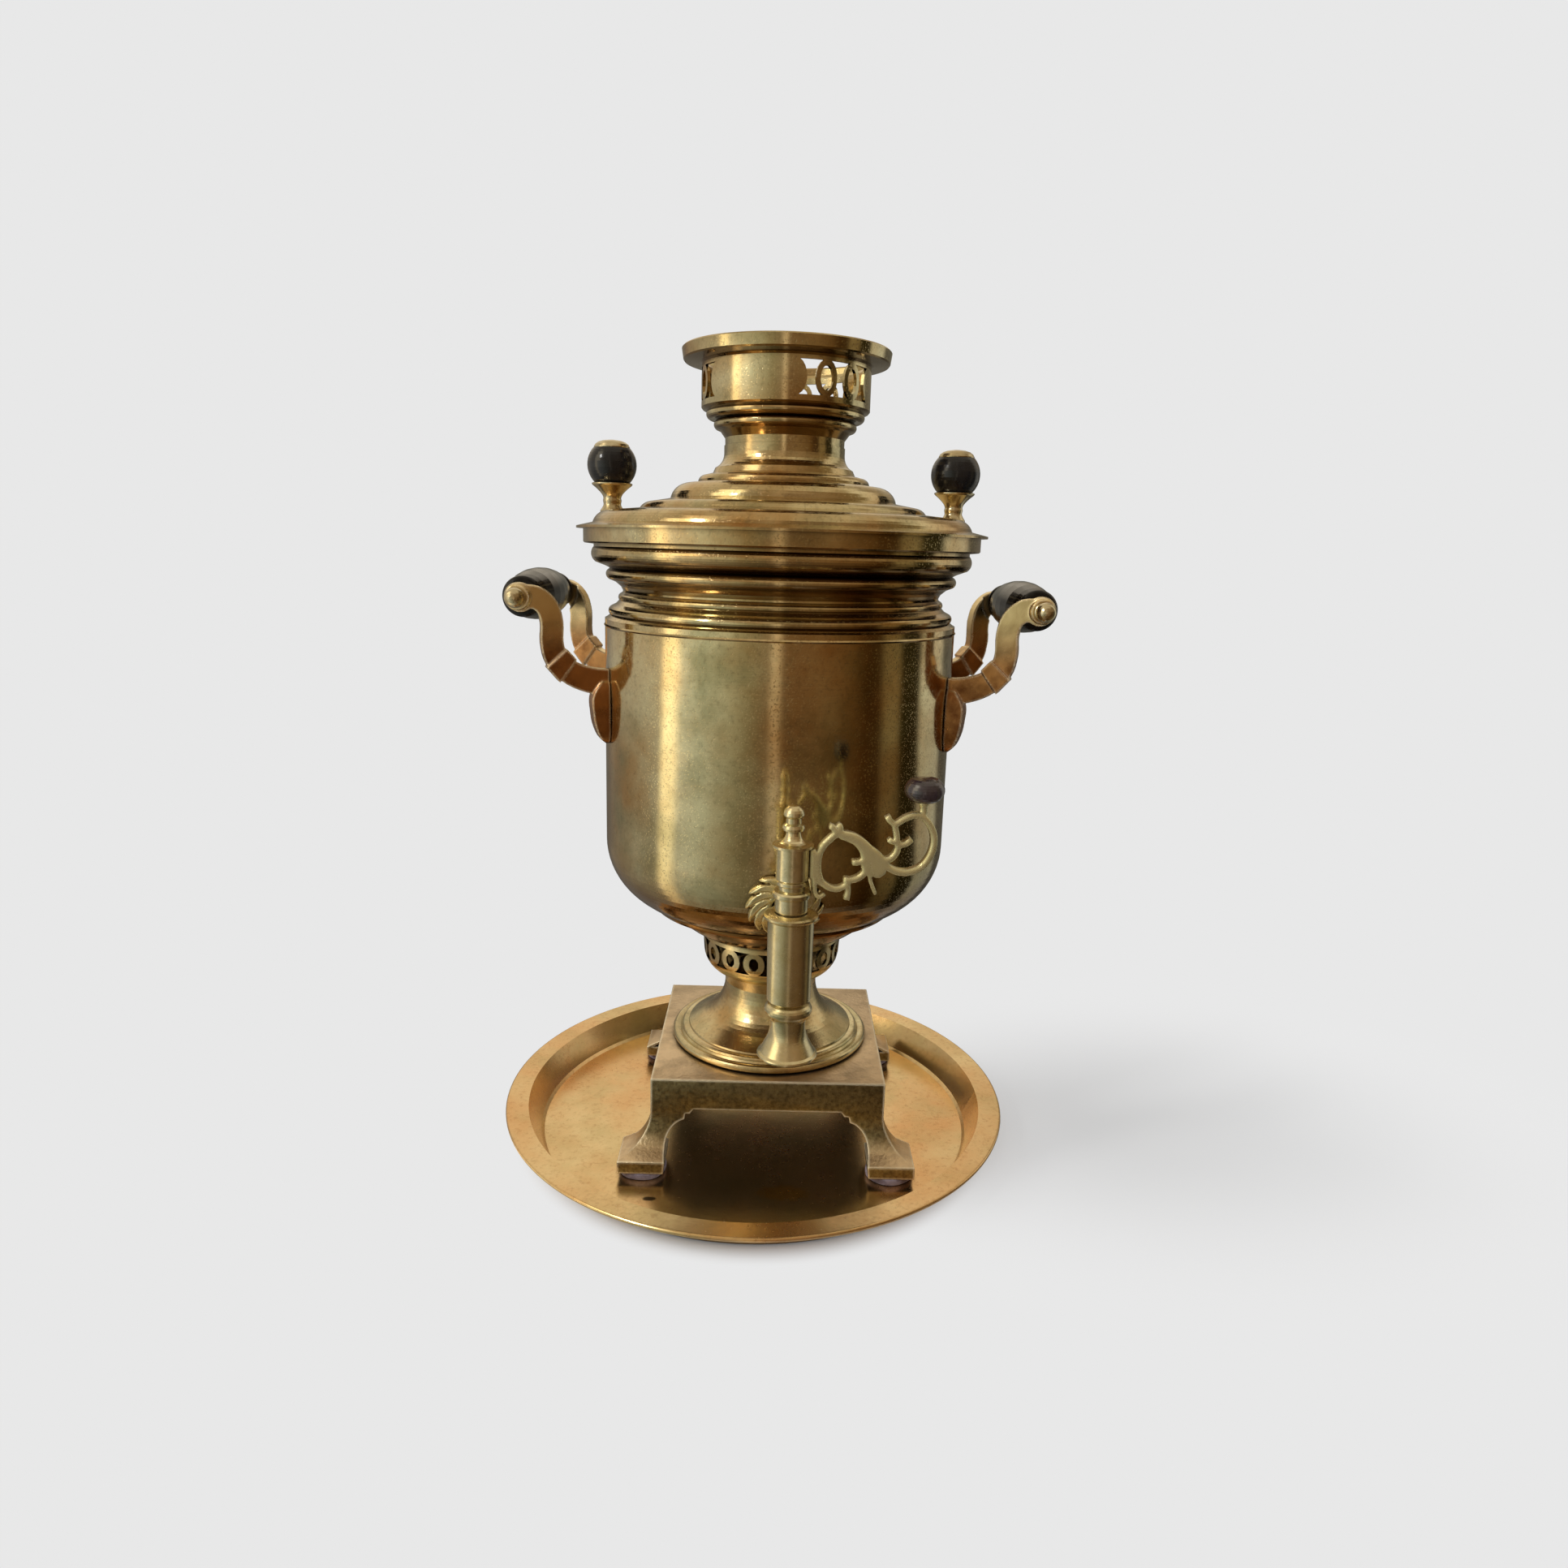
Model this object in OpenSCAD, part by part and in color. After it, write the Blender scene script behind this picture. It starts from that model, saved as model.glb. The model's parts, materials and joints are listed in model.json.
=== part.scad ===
// Charcoal samovar of the cylindrical kind, on its round tray.
// +Z is up, the tap is on the -Y side, and the origin lies on the samovar's
// axis in the plane that the tray rests on.  Millimetres.

/* [Tray] */
// Outside diameter of the tray
tray_d = 306; // [296:1:330]
// Height of the tray's rim above the table
tray_h = 18.3; // [15:0.1:24]
// Width of the tray's flat rim
tray_rim_w = 13; // [9:0.5:14]
// Thickness of the tray's sheet
tray_t = 1.2; // [0.8:0.1:2]
// How far the tray's centre lies left of the samovar's axis
tray_left = 8; // [0:0.5:9]
// How far the tray's centre lies in front of the samovar's axis
tray_front = 5; // [0:0.5:6]

/* [Plinth] */
// Side of the square plinth
plinth_w = 134; // [130:1:138]
// Height of the plinth with its legs
plinth_h = 49.5; // [45:0.5:56]
// Depth of the apron between the legs
apron_h = 18.5; // [15:0.5:21]
// How far each toe stands out past the plinth's side
toe_out = 17; // [12:0.5:18]
// Width of a leg at the apron
leg_w = 20; // [17:0.5:23]
// Wall of the plinth's casting
plinth_wall = 4; // [3:0.25:5]
// Diameter of a foot pad
pad_d = 28; // [22:0.5:30]
// Thickness of a foot pad
pad_h = 4; // [2.5:0.25:6]

/* [Pedestal and blower collar] */
// Diameter of the pedestal's foot flange
pedestal_d = 120.4; // [112:0.2:126]
// Height of the pedestal
pedestal_h = 41.5; // [38:0.5:46]
// Diameter of the pedestal's neck
neck_d = 56; // [52:0.5:60]
// Diameter of the pierced blower collar
collar_d = 84.2; // [80:0.2:88]
// Height of the blower collar
collar_h = 27.2; // [25:0.2:31]
// Number of oval rings round the blower collar
collar_ovals = 17; // [14:1:18]
// Height of the pierced band of the collar
collar_band_h = 13.6; // [11:0.2:14]

/* [Body] */
// Outside diameter of the body
body_d = 200; // [194:1:206]
// Height of the body's straight side
body_side_h = 128; // [118:1:150]
// Radius of the body's rounded bottom edge
belly_r = 40; // [37:0.5:43]
// Thickness of the body's sheet
body_t = 1.5; // [1:0.1:2]
// Diameter of the shallow bowl under the body
bowl_d = 147; // [143:0.5:151]
// Height of the shallow bowl under the body
bowl_h = 21.3; // [20:0.1:25]
// Height of the moulded crown above the body
crown_h = 48.8; // [47:0.2:54]
// Diameter of the crown's upper band
crown_d = 223; // [219:0.5:227]

/* [Fire tube] */
// Outside diameter of the firebox at the bottom
fire_d = 74; // [70:0.5:76]
// Thickness of the tube's wall
fire_t = 2; // [1.5:0.1:3]
// Height of the wide firebox below the taper
fire_h = 110; // [90:1:130]
// Number of slots in the grate
grate_slots = 7; // [5:1:8]
// Thickness of the grate
grate_t = 3; // [2:0.25:4]

/* [Lid] */
// How far the lid's thin brim stands out past the crown
lid_brim = 3.7; // [2.5:0.1:6]
// Height of the lid with its neck
lid_h = 46.8; // [45:0.2:52]
// Outside diameter of the lid's neck
lid_neck_d = 67.5; // [66:0.5:69]
// Wall of the lid's neck
lid_neck_t = 1.6; // [1.2:0.1:2]
// How far each lid knob stands in from the brim's edge
knob_in = 18.7; // [17.5:0.1:22]
// Diameter of a wooden lid ball
ball_d = 27.4; // [24:0.2:29]
// How far the steam vent stands in from the brim's edge
vent_in = 24.2; // [22:0.2:27]

/* [Teapot stand] */
// Diameter of the stand's lip
stand_lip_d = 115.2; // [111:0.2:120]
// Diameter of the stand's pierced barrel
stand_d = 93.4; // [91:0.2:96]
// Height of the stand
stand_h = 50.7; // [49:0.1:56]
// Wall of the stand
stand_t = 1.8; // [1.4:0.1:2.2]
// Direction of the first pierced panel from the front
stand_turn = 37; // [0:1:60]
// Number of pierced panels
stand_panels = 3; // [2:1:4]

/* [Handles] */
// Height of the grips above the bottom of the body's side
grip_up = 139.8; // [132:0.2:146]
// Distance of the grips from the axis
grip_x = 138.5; // [135:0.5:145]
// Diameter of a wooden grip
grip_d = 29; // [24:0.5:30]
// Length of a wooden grip
grip_len = 88; // [80:0.5:92]
// Thickness of a handle's arm
arm_t = 7; // [5:0.5:9]
// Width of the arm's band
arm_w = 12; // [10:0.5:13.5]
// Diameter of the rod through a grip
rod_d = 5; // [4:0.5:6]

/* [Tap] */
// Distance of the tap's turning axis from the samovar's axis
tap_out = 140; // [136:0.5:146]
// Turn of the tap round the body from the plinth's centre line
tap_turn = 3.5; // [-8:0.5:8]
// How far the tap's pipe lies below the body's straight side
pipe_down = 12; // [8:0.5:13]
// Diameter of the straight spout
spout_d = 22.4; // [21:0.2:24]
// Length of the straight spout
spout_len = 41.8; // [38:0.2:48]
// Diameter of the spout's bell mouth
bell_d = 29.6; // [27:0.2:32]
// Diameter of the turning plug's head
hub_d = 15.8; // [15.2:0.2:17]
// Diameter of the tapered plug at the top of its socket
plug_d = 14.6; // [13:0.2:14.8]
// Diameter of the plug's passage
port_d = 6; // [4:0.25:6.5]
// Thickness of the scroll key
key_t = 4.5; // [3.5:0.25:6]
// Width of the bar that the scrolls are cast from
key_bar = 2.7; // [2.3:0.1:3.2]
// Reach of the key from the tap's axis to its knob
key_reach = 61; // [54:0.5:66]
// Diameter of the key's round knob
key_knob_d = 19; // [16:0.5:21]
// Diameter of the fluted rosette behind the tap
rosette_d = 40; // [37:0.5:43]
// Number of flutes on the rosette
rosette_flutes = 14; // [12:1:16]

/* [Hidden] */
$fn = 96;

gap = 0.3;            // clearance between pieces that lift, turn or lie loose
seat = 0.1;           // clearance between pieces that are soldered or screwed on
run_gap = 0.06;       // radial clearance of the turning plug
slide_gap = 0.6;      // radial clearance of the lid's neck round the flue
over = 1;             // how far a cutting body runs past a face

tray_r = tray_d / 2;
tray_well_r = tray_r - tray_rim_w - 6.5;   // where the tray's wall begins
tray_lip_r = 1.3;                          // half the thickness of the rolled edge

plinth_r = plinth_w / 2;
plinth_z = tray_t + pad_h;
plinth_top = plinth_z + plinth_h;
apron_z = plinth_top - apron_h;
leg_in = plinth_r - leg_w;          // where a leg meets the apron
leg_step = 2.8;                     // height of the small step there
toe_x = plinth_r + toe_out;
toe_in = plinth_r - 9;              // inner edge of a toe
toe_h = 7;                          // height of a toe's upright end
foot_c = (toe_x + toe_in) / 2;      // centre of a foot pad

pedestal_r = pedestal_d / 2;
pedestal_t = 2.4;
neck_r = neck_d / 2;
collar_z = plinth_top + pedestal_h;
collar_r = collar_d / 2;
collar_t = 1.6;
collar_top = collar_z + collar_h;

body_r = body_d / 2;
bowl_r = bowl_d / 2;
bowl_top = collar_top + bowl_h;
belly_end = 72;                     // angle at which the belly meets the bowl
belly_c = body_r - belly_r;
belly_z = bowl_top + belly_r * sin(belly_end);
body_top = belly_z + body_side_h;
crown_r = crown_d / 2;
crown_t = 1.5;
crown_top = body_top + crown_h;

lid_r = crown_r + lid_brim;
lid_neck_r = lid_neck_d / 2;
lid_top = crown_top + lid_h;
lid_w = (lid_r - lid_neck_r) / 81.45;  // width of the lid's steps
lid_lip = 3.5;                      // depth of the ring that centres the lid
knob_x = lid_r - knob_in;
vent_y = lid_r - vent_in;
ball_r = ball_d / 2;
cup_cut = 0.7 * ball_r;             // the ball's lower flat, below its centre
cap_cut = 0.66 * ball_r;            // the ball's upper flat, above its centre
knob_up = 10;                       // height of the lid's surface at the knobs
stem_h = 15.3;                      // from the lid to the ball's lower flat
ball_z = crown_top + knob_up + stem_h + cup_cut;
cap_h = 4.4;
stud_r = 2.1;                       // stud that holds the ball and the cap
tail_r = 2.6;                       // threaded tail below the lid
vent_seat_h = 6;
vent_r = 2.6;
vent_z = crown_top + 10.5;          // the lid's surface at the vent

flue_r = lid_neck_r - lid_neck_t - slide_gap;
fire_r = fire_d / 2;
fire_z = collar_top - 1.5;
fire_top = collar_top + fire_h;
taper_h = 45;                       // height of the cone between firebox and flue
ledge_w = 2.5;                      // ledge that the grate lies on

stand_r = stand_d / 2;
stand_lip_r = stand_lip_d / 2;
stand_z = lid_top;
stand_pitch = 21.2;                 // angle from one oval ring to the next
stand_band_z = stand_z + 31.4;      // middle height of the pierced panels
stand_band_h = 17.4;
spigot_h = 4;                       // depth of the stand's foot in the lid's neck
spigot_r = lid_neck_r - lid_neck_t - gap;
flue_top = stand_z - spigot_h - 1.5;

grip_r = grip_d / 2;
grip_z = belly_z + grip_up;
boss_w = 10.6;                      // width of the boss round an arm's eye
boss_y = grip_len / 2 + gap;        // inner and outer end of that boss
boss_end = boss_y + boss_w;
eye_y = boss_y + boss_w / 2;
arm_turn = atan(eye_y / grip_x);    // direction of an arm from the side of the body
eye_x = grip_x / cos(arm_turn);     // distance of an arm's eye from the axis
eye_r = 7.8;
boss_r = 6.4;
rod_r = rod_d / 2;
nut_r = 5.3;
plate_z = belly_z + 82;             // middle height of an arm's wall tongue

pipe_z = belly_z - pipe_down;
pipe_r = 6.6;
pipe_bore_r = 3.4;
socket_top = pipe_z + 12.2;
flange_h = 3;
flange_r = 13.2;
spout_r = spout_d / 2;
spout_z = socket_top - flange_h - spout_len;
bell_r = bell_d / 2;
bell_h = 29.3;
waist_r = spout_r - 2.4;            // narrow part above the bell
plug_r = plug_d / 2;
plug_taper = 0.05;                  // loss of radius for each millimetre down
plug_len = 34;
plug_z = socket_top - plug_len;
port_r = port_d / 2;
ring_r = plug_r + 2;                // ring between the plug and its head
hub_r = hub_d / 2;
hub_z = socket_top + 16.6;          // bottom of the head's barrel
hub_h = 15;
key_s = (key_reach - hub_r) / 53.1; // size of the scrolls
key_z = hub_z - 1.5;                // level that the scrolls are drawn from
pin_r = 1.7;                        // pin that holds the key's knob
knob_z = key_z + 39.3;              // underside of the key's knob
knob_h = 11.6;
rosette_r = rosette_d / 2;
petal_t = 5.2;                      // thickness of the rosette's petals

// ---------------------------------------------------------------- helpers

// Points of an arc round [cx, cz] from angle a0 to a1 in n steps
function arc(cx, cz, r, a0, a1, n = 8) =
    [for (i = [0 : n]) let (a = a0 + (a1 - a0) * i / n) [cx + r * cos(a), cz + r * sin(a)]];

// Line from a to b that bows s to its left
function bowed(a, b, s, n = 7) =
    [for (i = [0 : n]) let (t = i / n, d = b - a)
        a + d * t + 4 * s * t * (1 - t) * [-d[1], d[0]] / norm(d)];

function backwards(p) = [for (i = [len(p) - 1 : -1 : 0]) p[i]];

function raised(p, z) = [for (q = p) [q[0], q[1] + z]];

function mirrored(p) = [for (q = backwards(p)) [-q[0], q[1]]];

// Corners of an upright ellipse
function oval(rx, rz, n = 16) =
    [for (i = [0 : n - 1]) let (a = 360 * (i + 0.5) / n) [rx * cos(a), rz * sin(a)]];

// Gap between two upright ovals of half-width rx whose centres are 2 w apart
function hourglass(w, h, rx, n = 8) =
    let (rz = h / 2 + 0.6, a1 = asin(h / 2 / rz))
    concat([for (i = [-n / 2 : n / 2]) let (a = a1 * 2 * i / n) [-w + rx * cos(a), rz * sin(a)]],
           [for (i = [n / 2 : -1 : -n / 2]) let (a = a1 * 2 * i / n)
               [w - rx * cos(a), rz * sin(a)]]);

// Smooth curve through the given points, with n steps between two of them
function smooth(p, n = 4) = concat(
    [for (i = [0 : len(p) - 2]) for (j = [0 : n - 1])
        let (t = j / n, a = p[max(i - 1, 0)], b = p[i], c = p[i + 1],
             d = p[min(i + 2, len(p) - 1)])
        0.5 * (2 * b + (c - a) * t + (2 * a - 5 * b + 4 * c - d) * t * t
               + (3 * b - a - 3 * c + d) * t * t * t)],
    [p[len(p) - 1]]);

// Path moved sideways by w0 at its start and w1 at its end, wm more halfway
function moved(p, w0, w1, wm) =
    [for (i = [0 : len(p) - 1])
        let (t = i / (len(p) - 1), w = w0 + (w1 - w0) * t + wm * sin(180 * t),
             d = p[min(i + 1, len(p) - 1)] - p[max(i - 1, 0)])
        p[i] + w * [-d[1], d[0]] / norm(d)];

// Band along a path, w0 wide at its start and w1 at its end
function band(p, w0, w1, wm = 0) =
    concat(moved(p, w0 / 2, w1 / 2, wm / 2), backwards(moved(p, -w0 / 2, -w1 / 2, -wm / 2)));

module spun(path) { rotate_extrude() polygon(path); }

// Flat shape drawn in X and Z, given a thickness along Y
module upright(t) { rotate([90, 0, 0]) translate([0, 0, -t / 2]) linear_extrude(t) children(); }

module on_tap() { rotate([0, 0, tap_turn]) translate([0, -tap_out, 0]) children(); }

// Solid of revolution round the line from a to b, from its path of [radius, distance]
module aimed(a, b, path) {
    d = b - a;
    translate(a) rotate([0, acos(d[2] / norm(d)), atan2(d[1], d[0])]) spun(path);
}

// Cylinder that runs along +Y from the given height
module along_y(r, len) { rotate([-90, 0, 0]) cylinder(r = r, h = len); }

module both_sides() { children(); mirror([1, 0, 0]) children(); }

module fore_and_aft() { children(); mirror([0, 1, 0]) children(); }

module left() { mirror([1, 0, 0]) children(); }

module back() { mirror([0, 1, 0]) children(); }

// ------------------------------------------------------------------- tray

module tray() color("goldenrod") translate([-tray_left, -tray_front, 0]) spun(concat(
    [[0, 0]],
    arc(tray_well_r - 3, 3, 3, -90, -22, 5),
    [[tray_r - tray_rim_w + 0.6, tray_h - tray_t], [tray_r - 2, tray_h - tray_t]],
    arc(tray_r - tray_lip_r, tray_h - tray_lip_r + 0.3, tray_lip_r, -80, 100, 8),
    [[tray_r - tray_rim_w - 0.4, tray_h], [tray_well_r - 1.4, tray_t + 1.6],
     [tray_well_r - 3, tray_t], [0, tray_t]]));

// ----------------------------------------------------------------- plinth

// Right edge of the plinth: upright side, then the leg's flare and toe
function plinth_edge(inset) = concat(
    [[plinth_r - inset, plinth_top - inset]],
    arc(toe_x + 6 - inset, apron_z - 2, toe_out + 6, 180, 232, 8),
    [[toe_x - inset, plinth_z + toe_h]]);

// Inner edge of the right leg and its step up to the apron
function plinth_arch() = concat(
    [[toe_in, plinth_z]],
    arc(leg_in - 3.5, plinth_z + 11, toe_in - leg_in + 3.5, -18, 74, 8),
    [[leg_in, apron_z - leg_step], [leg_in - 2.6, apron_z - leg_step],
     [leg_in - 4.6, apron_z]]);

module plinth_outline() {
    half = concat(plinth_edge(0), [[toe_x, plinth_z]], plinth_arch());
    polygon(concat(half, mirrored(half)));
}

module plinth_hollow() {
    half = plinth_edge(plinth_wall);
    polygon(concat(half, mirrored(half)));
}

module both_ways() {
    intersection() {
        upright(2 * toe_x + over) children();
        rotate([0, 0, 90]) upright(2 * toe_x + over) children();
    }
}

module plinth() color("darkgoldenrod") difference() {
    both_ways() plinth_outline();
    both_ways() plinth_hollow();
}

module foot_pads() color("slategray") both_sides() fore_and_aft()
    translate([foot_c, foot_c, tray_t]) {
        cylinder(d = pad_d, h = pad_h - 1);
        translate([0, 0, pad_h - 1]) cylinder(d1 = pad_d, d2 = pad_d - 2, h = 1);
    }

// --------------------------------------------------- pedestal and collar

function pedestal_outer() = concat(
    [[pedestal_r - 1.4, 0]],
    arc(pedestal_r - 2.6, 2.6, 2.6, -45, 90, 7),
    [[pedestal_r - 4.8, 4.6]],
    arc(pedestal_r - 7.6, 5.6, 1.9, 0, 90, 5),
    [[pedestal_r - 9.8, 7.5], [pedestal_r - 10.2, 8.4]],
    arc(neck_r + 26, pedestal_h - 5.5, 26, 238, 180, 10),
    [[neck_r + 0.6, pedestal_h]]);

function pedestal_inner() = concat(
    [[neck_r + 0.6 - pedestal_t, pedestal_h]],
    arc(neck_r + 26, pedestal_h - 5.5, 26 + pedestal_t, 180, 236, 10),
    [[pedestal_r - 12.5, 5], [pedestal_r - 12.5, 0]]);

module pedestal() color("gold")
    spun(raised(concat(pedestal_outer(), pedestal_inner()), plinth_top));

// Skin of the collar, t inside its outer face
function collar_path(t) = concat(
    [[neck_r + 0.6 - t, 0]],
    arc(collar_r - 15.5, 15.8, 14.8 - t, -58, -6, 7),
    [[collar_r - t, collar_h - 2.6], [collar_r - 0.5 - t, collar_h]]);

module blower_collar() color("gold") {
    pitch = 360 / collar_ovals;
    half = PI * collar_r / collar_ovals;
    ring_z = collar_top - 2.4 - collar_band_h / 2;
    difference() {
        spun(raised(concat(collar_path(0), backwards(collar_path(collar_t))), collar_z));
        for (i = [0 : collar_ovals - 1]) {
            rotate([0, 0, (i + 0.33) * pitch]) translate([0, -collar_r, ring_z]) upright(14)
                polygon(oval(half - 4.7, collar_band_h / 2 - 2.6, 8));
            rotate([0, 0, (i + 0.83) * pitch]) translate([0, -collar_r, ring_z]) upright(14)
                polygon(hourglass(half, collar_band_h, half - 1.2));
        }
    }
}

// ------------------------------------------------------------------- body

module bottom_bowl() color("gold") spun(raised(concat(
    [[collar_r - 0.5, 0]],
    bowed([collar_r - 0.1, 0.05], [bowl_r - 9.1, bowl_h - 4], -1.76),
    [[bowl_r - 8.4, bowl_h - 3.9], [bowl_r - 1, bowl_h - 2.7], [bowl_r, bowl_h - 1.3],
     [bowl_r, bowl_h], [bowl_r - 3, bowl_h], [bowl_r - 3, bowl_h - 0.8],
     [bowl_r - 9.4, bowl_h - 2]],
    bowed([bowl_r - 10.4, bowl_h - 2.9], [collar_r - 0.8, 1.6], 1.7),
    [[collar_r - 2.2, 0]]), collar_top));

// Outer line of the body from the bowl to the crown, g outside its skin
function body_line(g = 0) = concat(
    arc(belly_c, belly_z, belly_r + g, -belly_end, 0, 14),
    [[body_r + g, body_top]]);

module body_shell() color("gold") {
    inner_end = asin((belly_r * sin(belly_end) - body_t) / (belly_r - body_t));
    difference() {
        spun(concat(
            arc(belly_c, belly_z, belly_r, -belly_end, 0, 14),
            [[body_r, body_top - 4.4], [body_r + 0.6, body_top - 3.6],
             [body_r, body_top - 2.8], [body_r, body_top], [body_r - body_t, body_top]],
            arc(belly_c, belly_z, belly_r - body_t, 0, -inner_end, 14),
            [[fire_r + seat, bowl_top + body_t], [fire_r + seat, bowl_top]]));
        on_tap() translate([0, 0, pipe_z]) along_y(pipe_r + seat, tap_out);
    }
}

// Path whose offsets from the crown's groove stretch with the crown
function flared(p) =
    let (groove = body_r - 9.5, w = (crown_r - groove) / 21) [for (q = p) [groove + q[0] * w, q[1]]];

// Two lower rings and a groove on the body, then the flare to the upper band
module crown_ring() color("gold") spun(raised(concat(
    [[body_r - 0.4, 0]],
    arc(body_r - 4.8, 4.2, 2.8, -50, 70, 6),
    [[body_r - 6.2, 8]],
    arc(body_r - 9.9, 11.6, 2.4, -40, 70, 5),
    flared(concat(
        [[-0.6, 14.6], [-0.6, 15.6], [0.5, 17.6], [3.6, 20.2]],
        arc(5.6, 24.4, 3.2, -62, 50, 7),
        [[6.6, 27.6], [8.8, 28.8]],
        arc(11.2, 35.4, 5.6, -54, 42, 8),
        [[15.4, 40.4], [20.2, 40.9]])),
    [[crown_r, crown_h - 7.2], [crown_r, crown_h], [crown_r - crown_t, crown_h],
     [crown_r - crown_t, crown_h - 6]],
    flared([[14.2, 42.2], [13.8, 39.4], [14.9, 36], [13.6, 32.4], [9.2, 30.4], [5, 28.4],
            [5.2, 26.6], [6.8, 24.4], [5.6, 22.4], [2.4, 21], [-1, 18.8]]),
    [[body_r - 12.1, 16.4], [body_r - 11.5, 10], [body_r - 8.2, 8.4], [body_r - 5.6, 5.5],
     [body_r - 4, 0]]), body_top));

// -------------------------------------------------------------- fire tube

module fire_tube() color("dimgray") spun([
    [fire_r - fire_t - ledge_w, fire_z], [fire_r, fire_z], [fire_r, fire_top],
    [flue_r, fire_top + taper_h], [flue_r, flue_top], [flue_r - fire_t, flue_top],
    [flue_r - fire_t, fire_top + taper_h], [fire_r - fire_t, fire_top],
    [fire_r - fire_t, fire_z + fire_t], [fire_r - fire_t - ledge_w, fire_z + fire_t]]);

module grate() color("dimgray") {
    grate_r = fire_r - fire_t - gap;
    slot_pitch = 2 * grate_r / (grate_slots + 1);
    translate([0, 0, fire_z + fire_t]) difference() {
        cylinder(r = grate_r, h = grate_t);
        for (i = [1 : grate_slots]) {
            x = i * slot_pitch - grate_r;
            half = sqrt(grate_r * grate_r - x * x) - 5;
            translate([x - 2.1, -half, -over]) cube([4.2, 2 * half, grate_t + 2 * over]);
        }
    }
}

// -------------------------------------------------------------------- lid

// Path whose insets from the brim stretch with the lid
function stepped(p) = [for (q = p) [lid_r - q[0] * lid_w, q[1]]];

// Outer line of the lid: thin brim, four soft steps and the neck
function lid_outer() = concat(
    stepped(concat(
        [[0, 0], [0, 1.2], [8.2, 3.2]],
        arc(17.6, 0.7, 9.2, 164, 102, 6),
        [[34, 11.6]],
        arc(40.9, 8.3, 7.1, 151, 98, 6),
        [[49, 16.9]],
        arc(61.8, 15.8, 10.2, 170, 104, 7),
        [[66.8, 26.6]],
        arc(71, 26.8, 3.9, 180, 95, 5))),
    [[lid_neck_r + 6.2, 31.8]],
    arc(lid_neck_r + 8.5, 42.5, 8.5, 245, 180, 6),
    [[lid_neck_r, lid_h]]);

function lid_inner() = concat(
    [[lid_neck_r - lid_neck_t, lid_h], [lid_neck_r - lid_neck_t, 41], [lid_neck_r + 3, 32]],
    stepped([[72, 28.2], [68.6, 24.8], [56, 20.8], [51.4, 15.6], [38.6, 13.2], [36.4, 10.2],
             [13.6, 7.6], [10.2, 3.4]]),
    [[crown_r - 4.9, 1.4], [crown_r - crown_t - 2.8, 1], [crown_r - crown_t - 2.8, -lid_lip],
     [crown_r - crown_t - 1.2, -lid_lip], [crown_r - crown_t - 1.2, 0]]);

module lid() color("gold") difference() {
    spun(raised(concat(lid_outer(), lid_inner()), crown_top));
    both_sides() translate([knob_x, 0, crown_top]) cylinder(r = tail_r + seat, h = 20);
    translate([0, vent_y, crown_top]) cylinder(r = vent_r, h = 20);
}

// Everything below the lid's outer line, where the knobs and the vent stand on it
module below_lid() translate([0, 0, crown_top + seat])
    spun(concat([[0, -20], [lid_r, -20]], lid_outer(), [[0, lid_h]]));

module lid_stem() color("gold") {
    top = ball_z - cup_cut;
    difference() {
        translate([knob_x, 0, 0]) spun(concat(
            [[0, crown_top + 5], [6.8, crown_top + 5]],
            smooth([[6.8, top - 15.2], [5.6, top - 13.4], [4.9, top - 11.8], [5.2, top - 9.8],
                    [5, top - 8], [6.2, top - 5.8], [8.8, top - 3.2], [10.8, top - 1.6]], 3),
            [[11.3, top - 1], [11.3, top - 0.4], [10.4, top], [stud_r, top],
             [stud_r, ball_z + cap_cut + 2], [0, ball_z + cap_cut + 2]]));
        below_lid();
    }
    translate([knob_x, 0, crown_top + 2.4]) cylinder(r = tail_r, h = knob_up);
}

module lid_stem_right() lid_stem();

module lid_stem_left() left() lid_stem();

module lid_ball() color("black") translate([knob_x, 0, ball_z]) spun(concat(
    [[stud_r + seat, -cup_cut]], arc(0, 0, ball_r, -44.4, 41.3, 12),
    [[stud_r + seat, cap_cut]]));

module lid_ball_right() lid_ball();

module lid_ball_left() left() lid_ball();

module lid_cap() color("gold") translate([knob_x, 0, ball_z + cap_cut]) spun([
    [stud_r + seat, 0], [9.9, 0], [10, 0.6], [9.2, 2], [7.6, 3.2], [5, 4], [2, cap_h], [0, cap_h],
    [0, 2 + seat], [stud_r + seat, 2 + seat]]);

module lid_cap_right() lid_cap();

module lid_cap_left() left() lid_cap();

module lid_nuts() color("gold") both_sides()
    translate([knob_x, 0, crown_top + 4.2]) difference() {
        cylinder(r = 4.6, h = 3, $fn = 6);
        translate([0, 0, -over]) cylinder(r = tail_r + seat / 2, h = 3 + 2 * over, $fn = 48);
    }

// ------------------------------------------------------------------- vent

module vent_seat() color("gold") difference() {
    translate([0, vent_y, 0]) spun([
        [vent_r, vent_z - 2], [6.4, vent_z - 2], [6.4, vent_z + 1.4], [4.8, vent_z + 2.6],
        [4.8, vent_z + vent_seat_h], [vent_r, vent_z + vent_seat_h]]);
    below_lid();
}

module vent_cap() color("gold") translate([0, vent_y, vent_z + vent_seat_h]) spun(concat(
    [[0, -6], [vent_r - gap, -6], [vent_r - gap, 0], [6, 0], [6.4, 1.6], [3.4, 3.2]],
    arc(0, 6, 3.4, -40, 90, 8)));

// ----------------------------------------------------------- teapot stand

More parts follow.
